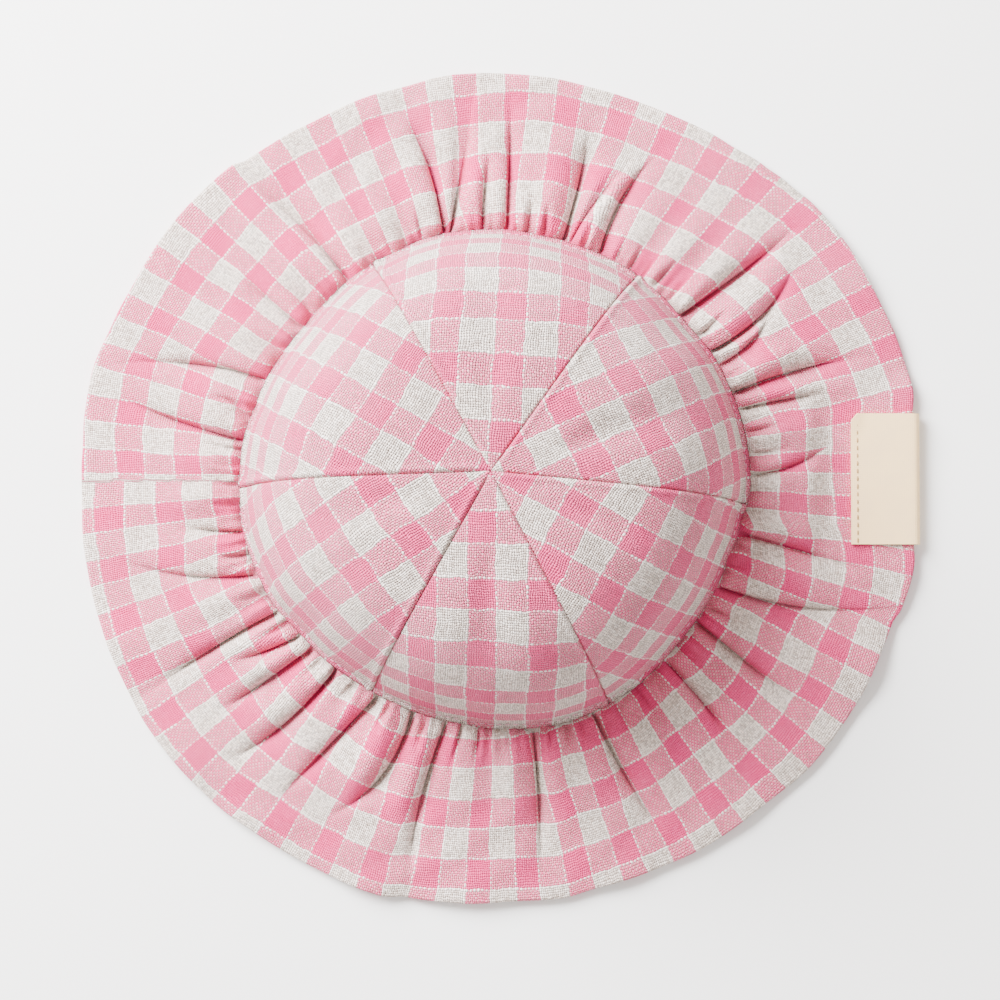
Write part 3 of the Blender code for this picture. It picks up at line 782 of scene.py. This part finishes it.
@dataclass
class Brim:
    """The gathered brim of doubled cloth."""

    cloth: Material
    thickness: float = 0.0018
    tuck: float = 0.0030
    fold_depth: float = 0.0074
    core_at_seam: float = 0.0008
    core_at_edge: float = 0.0020
    core_share: float = 0.62
    lip_shift: float = 0.0007
    lip_share: float = 0.10
    lip_reach: float = 0.0012
    steep_side: float = 0.8
    easy_side: float = 1.3
    small_share: float = 0.62
    gather_height: float = 0.00042
    ripple_height: float = 0.00022
    width_at_seam: float = 0.0022
    width_at_edge: float = 0.0085
    share_of_spacing: float = 0.30
    columns_per_degree: float = 2.7
    rings: int = 46
    column_turn: float = 7.472
    dark_column_at: float = 184.8
    strip_join: float = 179.5
    row_period: float = 0.0191
    label_fade: tuple[float, float] = (11.5, 15.5)
    under_label_from: float = 0.54
    label_heights: tuple[float, float] = (0.0049, 0.0040)
    strip: tuple[float, float] = (0.057, 0.83)
    columns: list[tuple[int, float]] = field(default_factory=list)
    lip_sides: np.ndarray = field(default_factory=lambda: np.array([]))

    def __post_init__(self) -> None:
        """Spread the columns between the creases and choose each crease's steep side."""
        by_chance = np.where(np.random.default_rng(8).random(len(CREASES)) < 0.5, -1.0, 1.0)
        upper_left = np.where(np.cos(np.radians(AT_SEAM - 48.0)) > 0.0, 1.0, -1.0)
        self.lip_sides = np.where(DEPTH >= 0.5, upper_left, by_chance)
        for i, spacing in enumerate((np.roll(AT_SEAM, -1) - AT_SEAM) % 360.0):
            parts = max(4, round(spacing * self.columns_per_degree))
            self.columns += [(i, part / parts) for part in range(parts)]

    def crease_angles(self, out: float) -> np.ndarray:
        """Return each crease's angle at a share of the way out."""
        walked = np.minimum(1.0, out / REACH)
        pull = 2.0 * AT_HALF - (AT_SEAM + AT_TIP) / 2.0
        start = AT_SEAM + (pull - AT_SEAM) * walked
        own = start + (pull + (AT_TIP - pull) * walked - start) * walked
        long = np.flatnonzero(REACH >= SHORT_REACH)
        long = np.concatenate([long[-1:], long, long[:1]])
        turns = np.zeros(len(long))
        turns[0], turns[-1] = -360.0, 360.0
        carried = np.interp(AT_SEAM, AT_SEAM[long] + turns, own[long] + turns)
        let_go = smooth_step(0.3, 1.5, out / REACH)
        return np.where(REACH < SHORT_REACH, own + (carried - own) * let_go, own)

    def crease_strengths(self, out: float) -> np.ndarray:
        """Return each crease's depth share at a share of the way out."""
        short = REACH < SHORT_REACH
        fade = 1.0 - smooth_step(np.where(short, 0.2, 0.5) * REACH, 1.2 * REACH, out)
        fade = np.where(REACH >= 1.0, 1.0 - 0.55 * smooth_step(0.45, 1.0, out), fade)
        return DEPTH * np.where(short, self.small_share, 1.0) * fade * smooth_step(-0.008, 0.065, out)

    def crease_widths(self, out: float, angles: np.ndarray, strengths: np.ndarray) -> np.ndarray:
        """Return the half width of each crease to its two sides.

        Args:
            out: Share of the way out.
            angles: The creases' angles there.
            strengths: The creases' depth shares there.

        Returns:
            Two rows of widths, before and after the crease.
        """
        widest = self.width_at_seam + out * (self.width_at_edge - self.width_at_seam)
        sides = []
        for way in (-1, 1):
            spacing, weight = np.zeros(len(angles)), np.ones(len(angles))
            for step in (1, 2, 3):
                near, far = np.roll(angles, -way * (step - 1)), np.roll(angles, -way * step)
                spacing += weight * (((far - near) * way) % 360.0)
                weight *= 1.0 - np.minimum(1.0, np.roll(strengths, -way * step) / 0.3)
            room = self.share_of_spacing * np.radians(spacing) * plain_radius(out)
            sides.append((1.0 + np.maximum(0.0, way * VALLEY)) * np.minimum(widest, room))
        return np.array(sides)

    def column_angles(self, out: float) -> np.ndarray:
        """Return the angles of the columns at a share of the way out."""
        angles = self.crease_angles(out)
        which = np.array([i for i, _ in self.columns])
        part = np.array([p for _, p in self.columns])
        return angles[which] + ((np.roll(angles, -1) - angles) % 360.0)[which] * part

    def label_height(self, out: Numbers) -> np.ndarray:
        """Return the height of the brim's top under the label."""
        inner, outer = self.label_heights
        share = (np.asarray(out) - self.under_label_from) / (1.0 - self.under_label_from)
        return inner + (outer - inner) * share

    def pressed(self, angle: np.ndarray, out: float) -> np.ndarray:
        """Work out how far the creases press the brim in along one ring.

        Args:
            angle: Angles along the ring.
            out: Share of the way from seam to edge.

        Returns:
            Shares of the folds' depth.
        """
        radius = seam_radius(angle) + out * (edge_radius(angle) - seam_radius(angle))
        angles, strengths = self.crease_angles(out), self.crease_strengths(out)
        before, after = self.crease_widths(out, angles, strengths)
        core = self.core_at_seam + out * (self.core_at_edge - self.core_at_seam)
        total = np.zeros(len(angle))
        for middle, strength, low, high, lip in zip(angles, strengths, before, after, self.lip_sides):
            arc = np.radians(turn_between(angle, middle)) * radius
            side = np.where(arc * lip > 0.0, self.steep_side, self.easy_side)
            wide = np.where(arc > 0.0, high, low) * side
            slope = (1.0 - self.core_share) * bell(arc, wide, 1.6)
            total += strength * (self.core_share * bell(arc, core, 1.2) + slope)
            total -= self.lip_share * strength * lip * np.tanh(arc / core) * bell(arc, 1.4 * wide)
        return total

    def heights(self, angle: np.ndarray, out: float) -> np.ndarray:
        """Return the height of the brim's top along one ring.

        Args:
            angle: Angles along the ring.
            out: Share of the way from seam to edge.

        Returns:
            The heights.
        """
        pressed = self.pressed(angle, out)
        raised = self._softened(pressed[None, :], 24)[0]
        level = SEAM_HEIGHT * curve_value(BRIM_PROFILE, 1, out) + self.fold_depth * 0.6 * raised
        height = level - np.minimum(self.fold_depth, level - 1.15 * self.thickness) * pressed
        height *= 1.0 + 0.08 * waves(5, 5, 20, 60, angle) * (1.0 - smooth_step(0.2, 0.9, out))
        small = waves(11, 9, 110, 190, angle) * self.gather_height * smooth_step(0.0, 0.03, out)
        height += small * (1.0 - smooth_step(0.05, 0.26, out))
        for middle, lift, half_width in EDGE_WAVES:
            height += lift * smooth_step(0.4, 1.0, out) * bell(turn_between(angle, middle), half_width)
        ripples = waves(21, 6, 14, 40, angle + 40.0 * out)
        height += self.ripple_height * ripples * smooth_step(0.2, 0.6, out)
        held = 1.0 - smooth_step(*self.label_fade, np.abs(turn_between(angle, LABEL_ANGLE)))
        held = held * smooth_step(0.36, self.under_label_from, out)
        return np.maximum(self.thickness, height + held * (self.label_height(out) - height))

    def leaned(self, angle: np.ndarray, out: float) -> np.ndarray:
        """Return the angles with each crease's steep side pushed over it."""
        radius = plain_radius(out)
        moved = angle.copy()
        for middle, strength, lip in zip(
            self.crease_angles(out), self.crease_strengths(out), self.lip_sides
        ):
            arc = np.radians(turn_between(angle, middle)) * radius * lip
            push = bell(arc - self.lip_reach, self.lip_reach) * smooth_step(0.0, 0.0010, arc)
            moved -= lip * np.degrees(self.lip_shift * strength * push / radius)
        return moved

    def surface(self) -> tuple[np.ndarray, np.ndarray]:
        """Work out the brim's shell and its map of checks.

        Returns:
            The points, rows by columns by 3, and the map, rows + 1 by columns + 1 by 2.
        """
        near = np.linspace(0.0, 0.3, self.rings // 2, endpoint=False)
        far = np.linspace(0.3, 1.0, self.rings // 2)
        angles = [self.column_angles(0.0)]
        seam_height = np.full(len(self.columns), SEAM_HEIGHT)
        tops = [self._ring(angles[0], seam_radius(angles[0]) - self.tuck, seam_height)]
        roll = self.thickness / 2.0
        for out in np.concatenate([near, far]):
            angle = self.column_angles(out)
            radius = seam_radius(angle) + out * (edge_radius(angle) - roll - seam_radius(angle))
            tops.append(self._ring(self.leaned(angle, out), radius, self.heights(angle, out)))
            angles.append(angle)
        top = np.array(tops)
        along = np.roll(top, -1, axis=1) - np.roll(top, 1, axis=1)
        normal = np.cross(along, np.gradient(top, axis=0))
        normal /= np.linalg.norm(normal, axis=2, keepdims=True)
        steepness = np.minimum(1.9, 1.0 / np.maximum(0.3, np.abs(normal[:, :, 2])))
        under = top.copy()
        under[:, :, 2] = np.maximum(0.0, top[:, :, 2] - self.thickness * steepness)
        middle = (top[-1, :, 2] + under[-1, :, 2]) / 2.0
        half = (top[-1, :, 2] - under[-1, :, 2]) / 2.0
        arcs = []
        for turn in np.radians((60.0, 25.0, -10.0, -50.0)):
            reach = edge_radius(angles[-1]) - roll + roll * np.cos(turn)
            arcs.append(self._ring(angles[-1], reach, middle + half * np.sin(turn)))
        grid = np.concatenate([top, np.array(arcs), under[::-1]])
        return grid, self._map(grid, np.array(angles + [angles[-1]] * len(arcs) + angles[::-1]))

    def _ring(self, angle: np.ndarray, radius: np.ndarray, height: np.ndarray) -> np.ndarray:
        """Return the points of one ring."""
        turn = np.radians(angle)
        return np.stack([MIDDLE_X + radius * np.cos(turn), MIDDLE_Y + radius * np.sin(turn), height], -1)

    def _map(self, grid: np.ndarray, angles: np.ndarray) -> np.ndarray:
        """Lay the strip's checks over the shell.

        Args:
            grid: The shell's points.
            angles: Each point's angle.

        Returns:
            The map in checks, with one more row and column than the points.
        """
        rows, columns = grid.shape[:2]
        step = np.linalg.norm(np.roll(grid, -1, axis=1) - grid, axis=2)
        walked = np.concatenate([np.zeros((rows, 1)), np.cumsum(step, axis=1)], axis=1)
        wide = np.concatenate([angles, angles[:, :1] + 360.0], axis=1)
        gap = walked / walked[:, -1:] * 360.0 - (wide - wide[:, :1])
        smooth = np.pad(self._softened(gap[:, :-1], 26), ((0, 0), (0, 1)), mode="wrap")
        past_join = self.strip_join + (wide - self.strip_join) % 360.0
        moved = wide + curve_value(COLUMN_DRIFT, 1, past_join) + (gap - smooth) * 0.9
        checks = (moved - self.dark_column_at) / self.column_turn + PINK_MIDDLE
        lengths = np.linalg.norm(np.diff(grid, axis=0), axis=2)
        total = np.concatenate([np.zeros((1, columns)), np.cumsum(lengths, axis=0)])
        inward = np.pad(np.abs(total - total[rows // 2]), ((0, 1), (0, 1)), mode="wrap")
        checks, past_join = (np.concatenate([v, v[:1]]) for v in (checks, past_join))
        return np.stack([checks, (inward - curve_value(ROW_DRIFT, 1, past_join)) / self.row_period], -1)

    def _softened(self, values: np.ndarray, reach: int) -> np.ndarray:
        """Return each row smoothed round the ring."""
        kernel = np.hanning(2 * reach + 3)[1:-1]
        kernel /= kernel.sum()
        padded = np.pad(values, ((0, 0), (reach, reach)), mode="wrap")
        return np.array([np.convolve(row, kernel, mode="valid") for row in padded])

    def build(self) -> Object:
        """Return the brim, a gathered strip of doubled cloth."""
        grid, uv = self.surface()
        item = mesh_piece("brim_cloth", grid, uv, wrap=True)
        item.data.materials.append(self.cloth)
        return item

    def under_label(self, x: float, y: float) -> float:
        """Return the height of the brim's top at a place under the label."""
        angle = math.degrees(math.atan2(y, x))
        inner = float(seam_radius(angle))
        out = (math.hypot(x, y) - inner) / (float(edge_radius(angle)) - inner)
        return float(self.label_height(min(1.0, out)))


@dataclass
class Crown:
    """The crown of six sewn gores."""

    cloth: Material
    thread: Material
    thickness: float = 0.0012
    puff: float = 0.0014
    foot: float = 0.0006
    foot_flare: float = 0.0009
    foot_groove: float = 0.0003
    foot_groove_at: float = 0.0019
    groove_depth: float = 0.0008
    groove_width: float = 0.00025
    welt_height: float = 0.0005
    welt_at: float = 0.0012
    welt_width: float = 0.0008
    rows: int = 110
    inner_columns: int = 40
    check_across: float = 0.0176
    check_down: float = 0.0191
    near_seam: tuple[float, ...] = (
        0.0, 0.00018, 0.0004, 0.0007, 0.00105, 0.0014, 0.0018, 0.0023, 0.0030, 0.0040,
    )

    def profile(self) -> tuple[np.ndarray, ...]:
        """Return shares of radius, height and puff down the crown, and the distance from the top."""
        fine = np.linspace(0.0, 1.0, 1200)
        height = curve_value(CROWN_PROFILE, 1, fine)
        length = np.hypot(np.diff(fine) * CROWN_RADIUS, np.diff(height) * CROWN_RISE)
        walked = np.concatenate([[0.0], np.cumsum(length)])
        at = np.linspace(0.0, walked[-1], self.rows)
        share = np.interp(at, walked, fine)
        share[0] = 0.0004
        return share, curve_value(CROWN_PROFILE, 1, share), curve_value(CROWN_PROFILE, 2, share), at

    def span(self, number: int) -> tuple[float, float]:
        """Return the angle at which a gore starts, and its width."""
        start = GORE_SEAMS[number]
        return start, (GORE_SEAMS[(number + 1) % len(GORE_SEAMS)] - start) % 360.0

    def dent(self, angle: np.ndarray, share: np.ndarray) -> np.ndarray:
        """Return how far the crown is pressed in."""
        total = np.zeros(np.broadcast(angle, share).shape)
        for middle, start, end, depth, half_width in CROWN_DENTS:
            along = smooth_step(start, start + 0.25, share) * (1.0 - smooth_step(end - 0.25, end, share))
            total += depth * along * bell(turn_between(angle, middle), half_width)
        return total

    def points(
        self, angle: np.ndarray, share: Numbers, height: Numbers, out: Numbers, up: Numbers
    ) -> np.ndarray:
        """Place points on the crown.

        Args:
            angle: Their angles.
            share: Share of the way from the top to the seam line.
            height: Height shares.
            out: How far they are moved outwards.
            up: How far they are moved up.

        Returns:
            The points.
        """
        turn, radius = np.radians(angle), seam_radius(angle)
        x = APEX[0] + (radius * np.cos(turn) - APEX[0]) * share + np.cos(turn) * out
        y = APEX[1] + (radius * np.sin(turn) - APEX[1]) * share + np.sin(turn) * out
        z = SEAM_HEIGHT + self.foot + (CROWN_RISE - self.foot) * height + up
        return np.stack([x + MIDDLE_X, y + MIDDLE_Y, np.broadcast_to(z, x.shape)], -1)

    def gore(self, number: int) -> tuple[np.ndarray, np.ndarray]:
        """Work out one gore's shell and its map of checks.

        Args:
            number: Which gore, from 0.

        Returns:
            The points and the map.
        """
        start, width = self.span(number)
        share, height, puff_share, walked = self.profile()
        arc = np.maximum(np.radians(width) * share * CROWN_RADIUS, 1e-5)
        near = np.array(self.near_seam)
        squeeze = np.minimum(1.0, arc / 2.6 / near[-1])
        left = near[None, :] * squeeze[:, None] / arc[:, None]
        inner = np.linspace(0.0, 1.0, self.inner_columns + 2)[1:-1]
        middle = left[:, -1:] + (1.0 - 2.0 * left[:, -1:]) * inner[None, :]
        across = np.concatenate([left, middle, 1.0 - left[:, ::-1]], axis=1)
        angle = start + width * across
        run, fall = np.gradient(share) * CROWN_RADIUS, -np.gradient(height) * CROWN_RISE
        length = np.hypot(run, fall)
        out, up = (fall / length)[:, None], (run / length)[:, None]
        off_middle = np.abs(2.0 * across - 1.0)
        puff = self.puff * puff_share[:, None] * (1.0 - off_middle**2)
        puff -= self.dent(angle, share[:, None]) * (1.0 - off_middle**4)
        puff += self._welt(across, arc, share, walked)
        outside = self.points(angle, share[:, None], height[:, None], puff * out, puff * up)
        turn = np.radians(angle)
        normal = np.stack([np.cos(turn) * out, np.sin(turn) * out, np.broadcast_to(up, turn.shape)], -1)
        inside = outside - normal * self.thickness
        return np.concatenate([outside, inside[::-1]]), self._map(number, across, walked, share)

    def _welt(
        self, across: np.ndarray, arc: np.ndarray, share: np.ndarray, walked: np.ndarray
    ) -> np.ndarray:
        """Return the seams' raised welt and groove, and the rolled fold at the crown's foot."""
        first, last = across * arc[:, None], (1.0 - across) * arc[:, None]
        groove = -self.groove_depth * (bell(first, self.groove_width) + bell(last, self.groove_width))
        welt = self.welt_height * bell(last - self.welt_at, self.welt_width)
        fade = smooth_step(0.01, 0.08, share)[:, None]
        from_foot = (walked[-1] - walked)[:, None]
        roll = self.foot_flare * bell(from_foot, 0.0010)
        roll -= self.foot_groove * bell(from_foot - self.foot_groove_at, 0.0005)
        return (groove + welt) * fade + roll

    def _map(self, number: int, across: np.ndarray, walked: np.ndarray, share: np.ndarray) -> np.ndarray:
        """Lay a gore's checks over its shell, square to its middle line.

        Args:
            number: Which gore.
            across: Share of the way across, per point.
            walked: Distance from the top, per row.
            share: Radius share, per row.

        Returns:
            The map in checks, with one more row and column than the points.
        """
        column_at, row_at, lean = GORE_CHECKS[number]
        spread = math.radians(self.span(number)[1]) * (share * CROWN_RADIUS / np.maximum(walked, 1e-5))
        fan = (across - 0.5) * spread[:, None]
        fan[0] = fan[1]
        sideways, down = -walked[:, None] * np.sin(fan), walked[:, None] * np.cos(fan)
        cos, sin = math.cos(math.radians(lean)), math.sin(math.radians(lean))
        first = (sideways * cos + down * sin - column_at) / self.check_across
        second = (down * cos - sideways * sin - row_at) / self.check_down
        checks = np.stack([first, second], -1) + PINK_MIDDLE
        both = np.concatenate([checks, checks[::-1], checks[:1]])
        return np.concatenate([both, both[:, -1:]], axis=1)

    def build(self) -> list[Object]:
        """Return the six gores."""
        made = []
        share, _, _, walked = self.profile()
        for number in range(len(GORE_SEAMS)):
            grid, uv = self.gore(number)
            item = mesh_piece(f"crown_gore_{number + 1}_cloth", grid, uv, wrap=False)
            item.data.materials.append(self.cloth)
            made.append(item)
        return made

    def foot_line(self, above: float, proud: float) -> np.ndarray:
        """Return a closed line round the crown, a distance above its foot.

        Args:
            above: Distance from the foot along the cloth.
            proud: How far it stands off the cloth.

        Returns:
            The line's points.
        """
        share, height, puff_share, walked = self.profile()
        at = walked[-1] - above
        here, high, puffed = (float(np.interp(at, walked, v)) for v in (share, height, puff_share))
        angle = np.linspace(0.0, 360.0, 1440, endpoint=False)
        across = np.zeros(len(angle))
        for number in range(len(GORE_SEAMS)):
            start, width = self.span(number)
            part = ((angle - start) % 360.0) / width
            across = np.where(part < 1.0, part, across)
        puff = self.puff * puffed * (1.0 - np.abs(2.0 * across - 1.0) ** 2)
        return self.points(angle, here, high, puff + proud, 0.0)

    def topstitching(self) -> Object:
        """Return the row of stitches above the crown's foot."""
        line = self.foot_line(above=0.0016, proud=-0.00012)
        return StitchRow(
            "crown_topstitching", line, pitch=0.0026, length=0.0019, width=0.00042,
            material=self.thread, closed=True,
        ).build()


@dataclass
class Label:
    """A plain ribbon that is folded over the brim's edge and sewn down."""

    ribbon: Material
    thread: Material
    brim: Brim
    inner_x: float = 0.1075
    high_y: float = LABEL_HIGH_Y - 0.0012
    thickness: float = 0.0009
    gap: float = 0.0002
    nose_radius: float = 0.0012
    corner: tuple[float, float] = (0.0018, 0.0030)
    corner_lift: float = 0.0006
    lifted_points: int = 14
    stations: int = 42
    ribbon_length: float = 0.0425
    stitch_inset: float = 0.0019
    stitch_lift: float = 0.00005
    end_inset: float = 0.0012

    def loop(self, y: float) -> np.ndarray:
        """Work out the ribbon's section at a distance along it, on the side next to the brim.

        Args:
            y: The distance.

        Returns:
            Points of x and height, from the upper flap's inner edge to the lower flap's.
        """
        cut, rounded = self.corner
        inner = self.inner_x + cut * float(smooth_step(self.high_y - rounded, self.high_y, y)) ** 2
        flap = np.linspace(inner, LABEL_OUTER_X - self.thickness - self.nose_radius, 16)
        heights = np.array([self.brim.under_label(x, y) + self.gap for x in flap])
        below = heights - self.brim.thickness - 2.0 * self.gap
        middle, radius = (heights[-1] + below[-1]) / 2.0, (heights[-1] - below[-1]) / 2.0
        turns = np.radians(np.linspace(90.0, -90.0, 9)[1:-1])
        arc = np.stack([flap[-1] + self.nose_radius * np.cos(turns), middle + radius * np.sin(turns)], -1)
        near = np.concatenate([np.stack([flap, heights], -1), arc, np.stack([flap[::-1], below[::-1]], -1)])
        lift = self.corner_lift * smooth_step(0.78, 1.0, (y - LABEL_LOW_Y) / (self.high_y - LABEL_LOW_Y))
        lift = lift * smooth_step(0.0, 1.0, (0.112 - near[:, 0]) / 0.004)
        near[:, 1] += lift * (np.arange(len(near)) < self.lifted_points)
        return near

    def build(self) -> Object:
        """Return the label."""
        ys = np.linspace(LABEL_LOW_Y, self.high_y, self.stations)
        rows = []
        for y in ys:
            near = self.loop(y)
            along = np.gradient(near, axis=0)
            normal = np.stack([-along[:, 1], along[:, 0]], -1)
            normal /= np.linalg.norm(normal, axis=1, keepdims=True)
            far = near + normal * self.thickness
            far[:, 1] = np.maximum(0.0001, far[:, 1])
            x, z = np.concatenate([near, far[::-1]]).T
            rows.append(np.stack([x + MIDDLE_X, np.full(len(x), y + MIDDLE_Y), z], -1))
        item = mesh_piece("label_ribbon", np.array(rows).transpose(1, 0, 2)[::-1], None, wrap=False)
        item.data.set_sharp_from_angle(angle=math.radians(50.0))
        item.data.materials.append(self.ribbon)
        return item

    def stitching(self) -> Object:
        """Return the stitches along the label's inner edge."""
        x = self.inner_x + self.stitch_inset
        ys = np.linspace(LABEL_LOW_Y + self.end_inset, self.high_y - self.end_inset, 40)
        top = self.gap + self.thickness + self.stitch_lift
        line = np.array([(x + MIDDLE_X, y + MIDDLE_Y, self.brim.under_label(x, y) + top) for y in ys])
        return StitchRow(
            "label_stitching", line, pitch=0.0023, length=0.0017, width=0.00046, material=self.thread
        ).build()


@dataclass
class Studio:
    """The floor, the soft light and the camera over the hat."""

    distance: float = 0.75
    tilt: float = 2.2
    scale: float = 3285.0
    picture: float = 1000.0
    brim_at: tuple[float, float] = (497.0, 484.0)
    brim_height: float = 0.003
    surround: Colour = (1.0, 0.93, 0.88, 1.0)
    surround_strength: float = 1.10

    def floor(self) -> Object:
        """Return the floor."""
        mesh = bpy.data.meshes.new("floor")
        corners = [(x, y, -0.0002) for x, y in ((-3, -3), (3, -3), (3, 3), (-3, 3))]
        mesh.from_pydata(corners, [], [(0, 1, 2, 3)])
        mesh.materials.append(PaleFloor().build())
        return add_object("floor", mesh)

    def camera(self) -> None:
        """Place the camera nearly straight above the hat."""
        right, down = (self.picture / 2.0 - at for at in self.brim_at)
        target = Vector((MIDDLE_X + right / self.scale, MIDDLE_Y - down / self.scale, self.brim_height))
        lean = math.radians(self.tilt)
        data = bpy.data.cameras.new("camera")
        data.sensor_width = 36.0
        data.lens = 36.0 * self.distance / (self.picture / self.scale)
        item = add_object("camera", data)
        item.location = target + self.distance * Vector((0.0, -math.sin(lean), math.cos(lean)))
        item.rotation_euler = (lean, 0.0, 0.0)
        bpy.context.scene.camera = item

    def light(self) -> None:
        """Add a large soft light from the upper left, a weak fill and a pale surround."""
        for name, place, power, size in LIGHTS:
            data = bpy.data.lights.new(name, "AREA")
            data.energy = power
            data.size = size
            item = add_object(name, data)
            item.location = place
            item.rotation_euler = (-Vector(place)).to_track_quat("-Z", "Y").to_euler()
        world = bpy.data.worlds.new("surround")
        world.use_nodes = True
        background = world.node_tree.nodes["Background"]
        background.inputs["Color"].default_value = self.surround
        background.inputs["Strength"].default_value = self.surround_strength
        bpy.context.scene.world = world

    def build(self) -> Object:
        """Set the studio up and return the floor."""
        self.camera()
        self.light()
        return self.floor()


def triangles(item: Object) -> int:
    """Return how many triangles a piece has."""
    return sum(len(p.vertices) - 2 for p in item.data.polygons)


def place_piece(item: Object, slot: str, *nodes: str) -> None:
    """Fix a piece to the hat and let it stand for its nodes.

    Args:
        item: The piece.
        slot: Not used.
        nodes: The nodes that it stands for.
    """
    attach(item, "root")
    if nodes:
        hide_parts(*nodes)
    LOG.info("%s: %d triangles", item.name, triangles(item))


def main() -> None:
    """Build the hat and its studio."""
    logging.basicConfig(level=logging.INFO, format="%(name)s %(message)s")
    studio = Studio()
    studio.build()
    cloth = CheckedCloth("checked_cloth").build()
    # The crown's cloth has a taller yarn relief and stronger painted shade between its yarns
    crown_cloth = CheckedCloth(
        "checked_crown_cloth", yarn_height=0.00042, wander=2.3, gap_shade_strength=1.75, gap_shade_reach=0.96, fuzz=0.22
    ).build()
    pink_thread = Thread("pink_thread", ThreadColour.PINK).build()
    cream_thread = Thread("cream_thread", ThreadColour.CREAM).build()
    brim = Brim(cloth)
    place_piece(brim.build(), "checked_cloth", "brim")
    crown = Crown(crown_cloth, pink_thread)
    for number, piece in enumerate(crown.build()):
        place_piece(piece, "checked_cloth", f"crown_gore_{number + 1}")
    place_piece(crown.topstitching(), "checked_cloth")
    label = Label(RibbonCloth("cream_ribbon").build(), cream_thread, brim)
    place_piece(label.build(), "label_ribbon", "label")
    place_piece(label.stitching(), "label_ribbon")


if __name__ == "__main__":
    main()
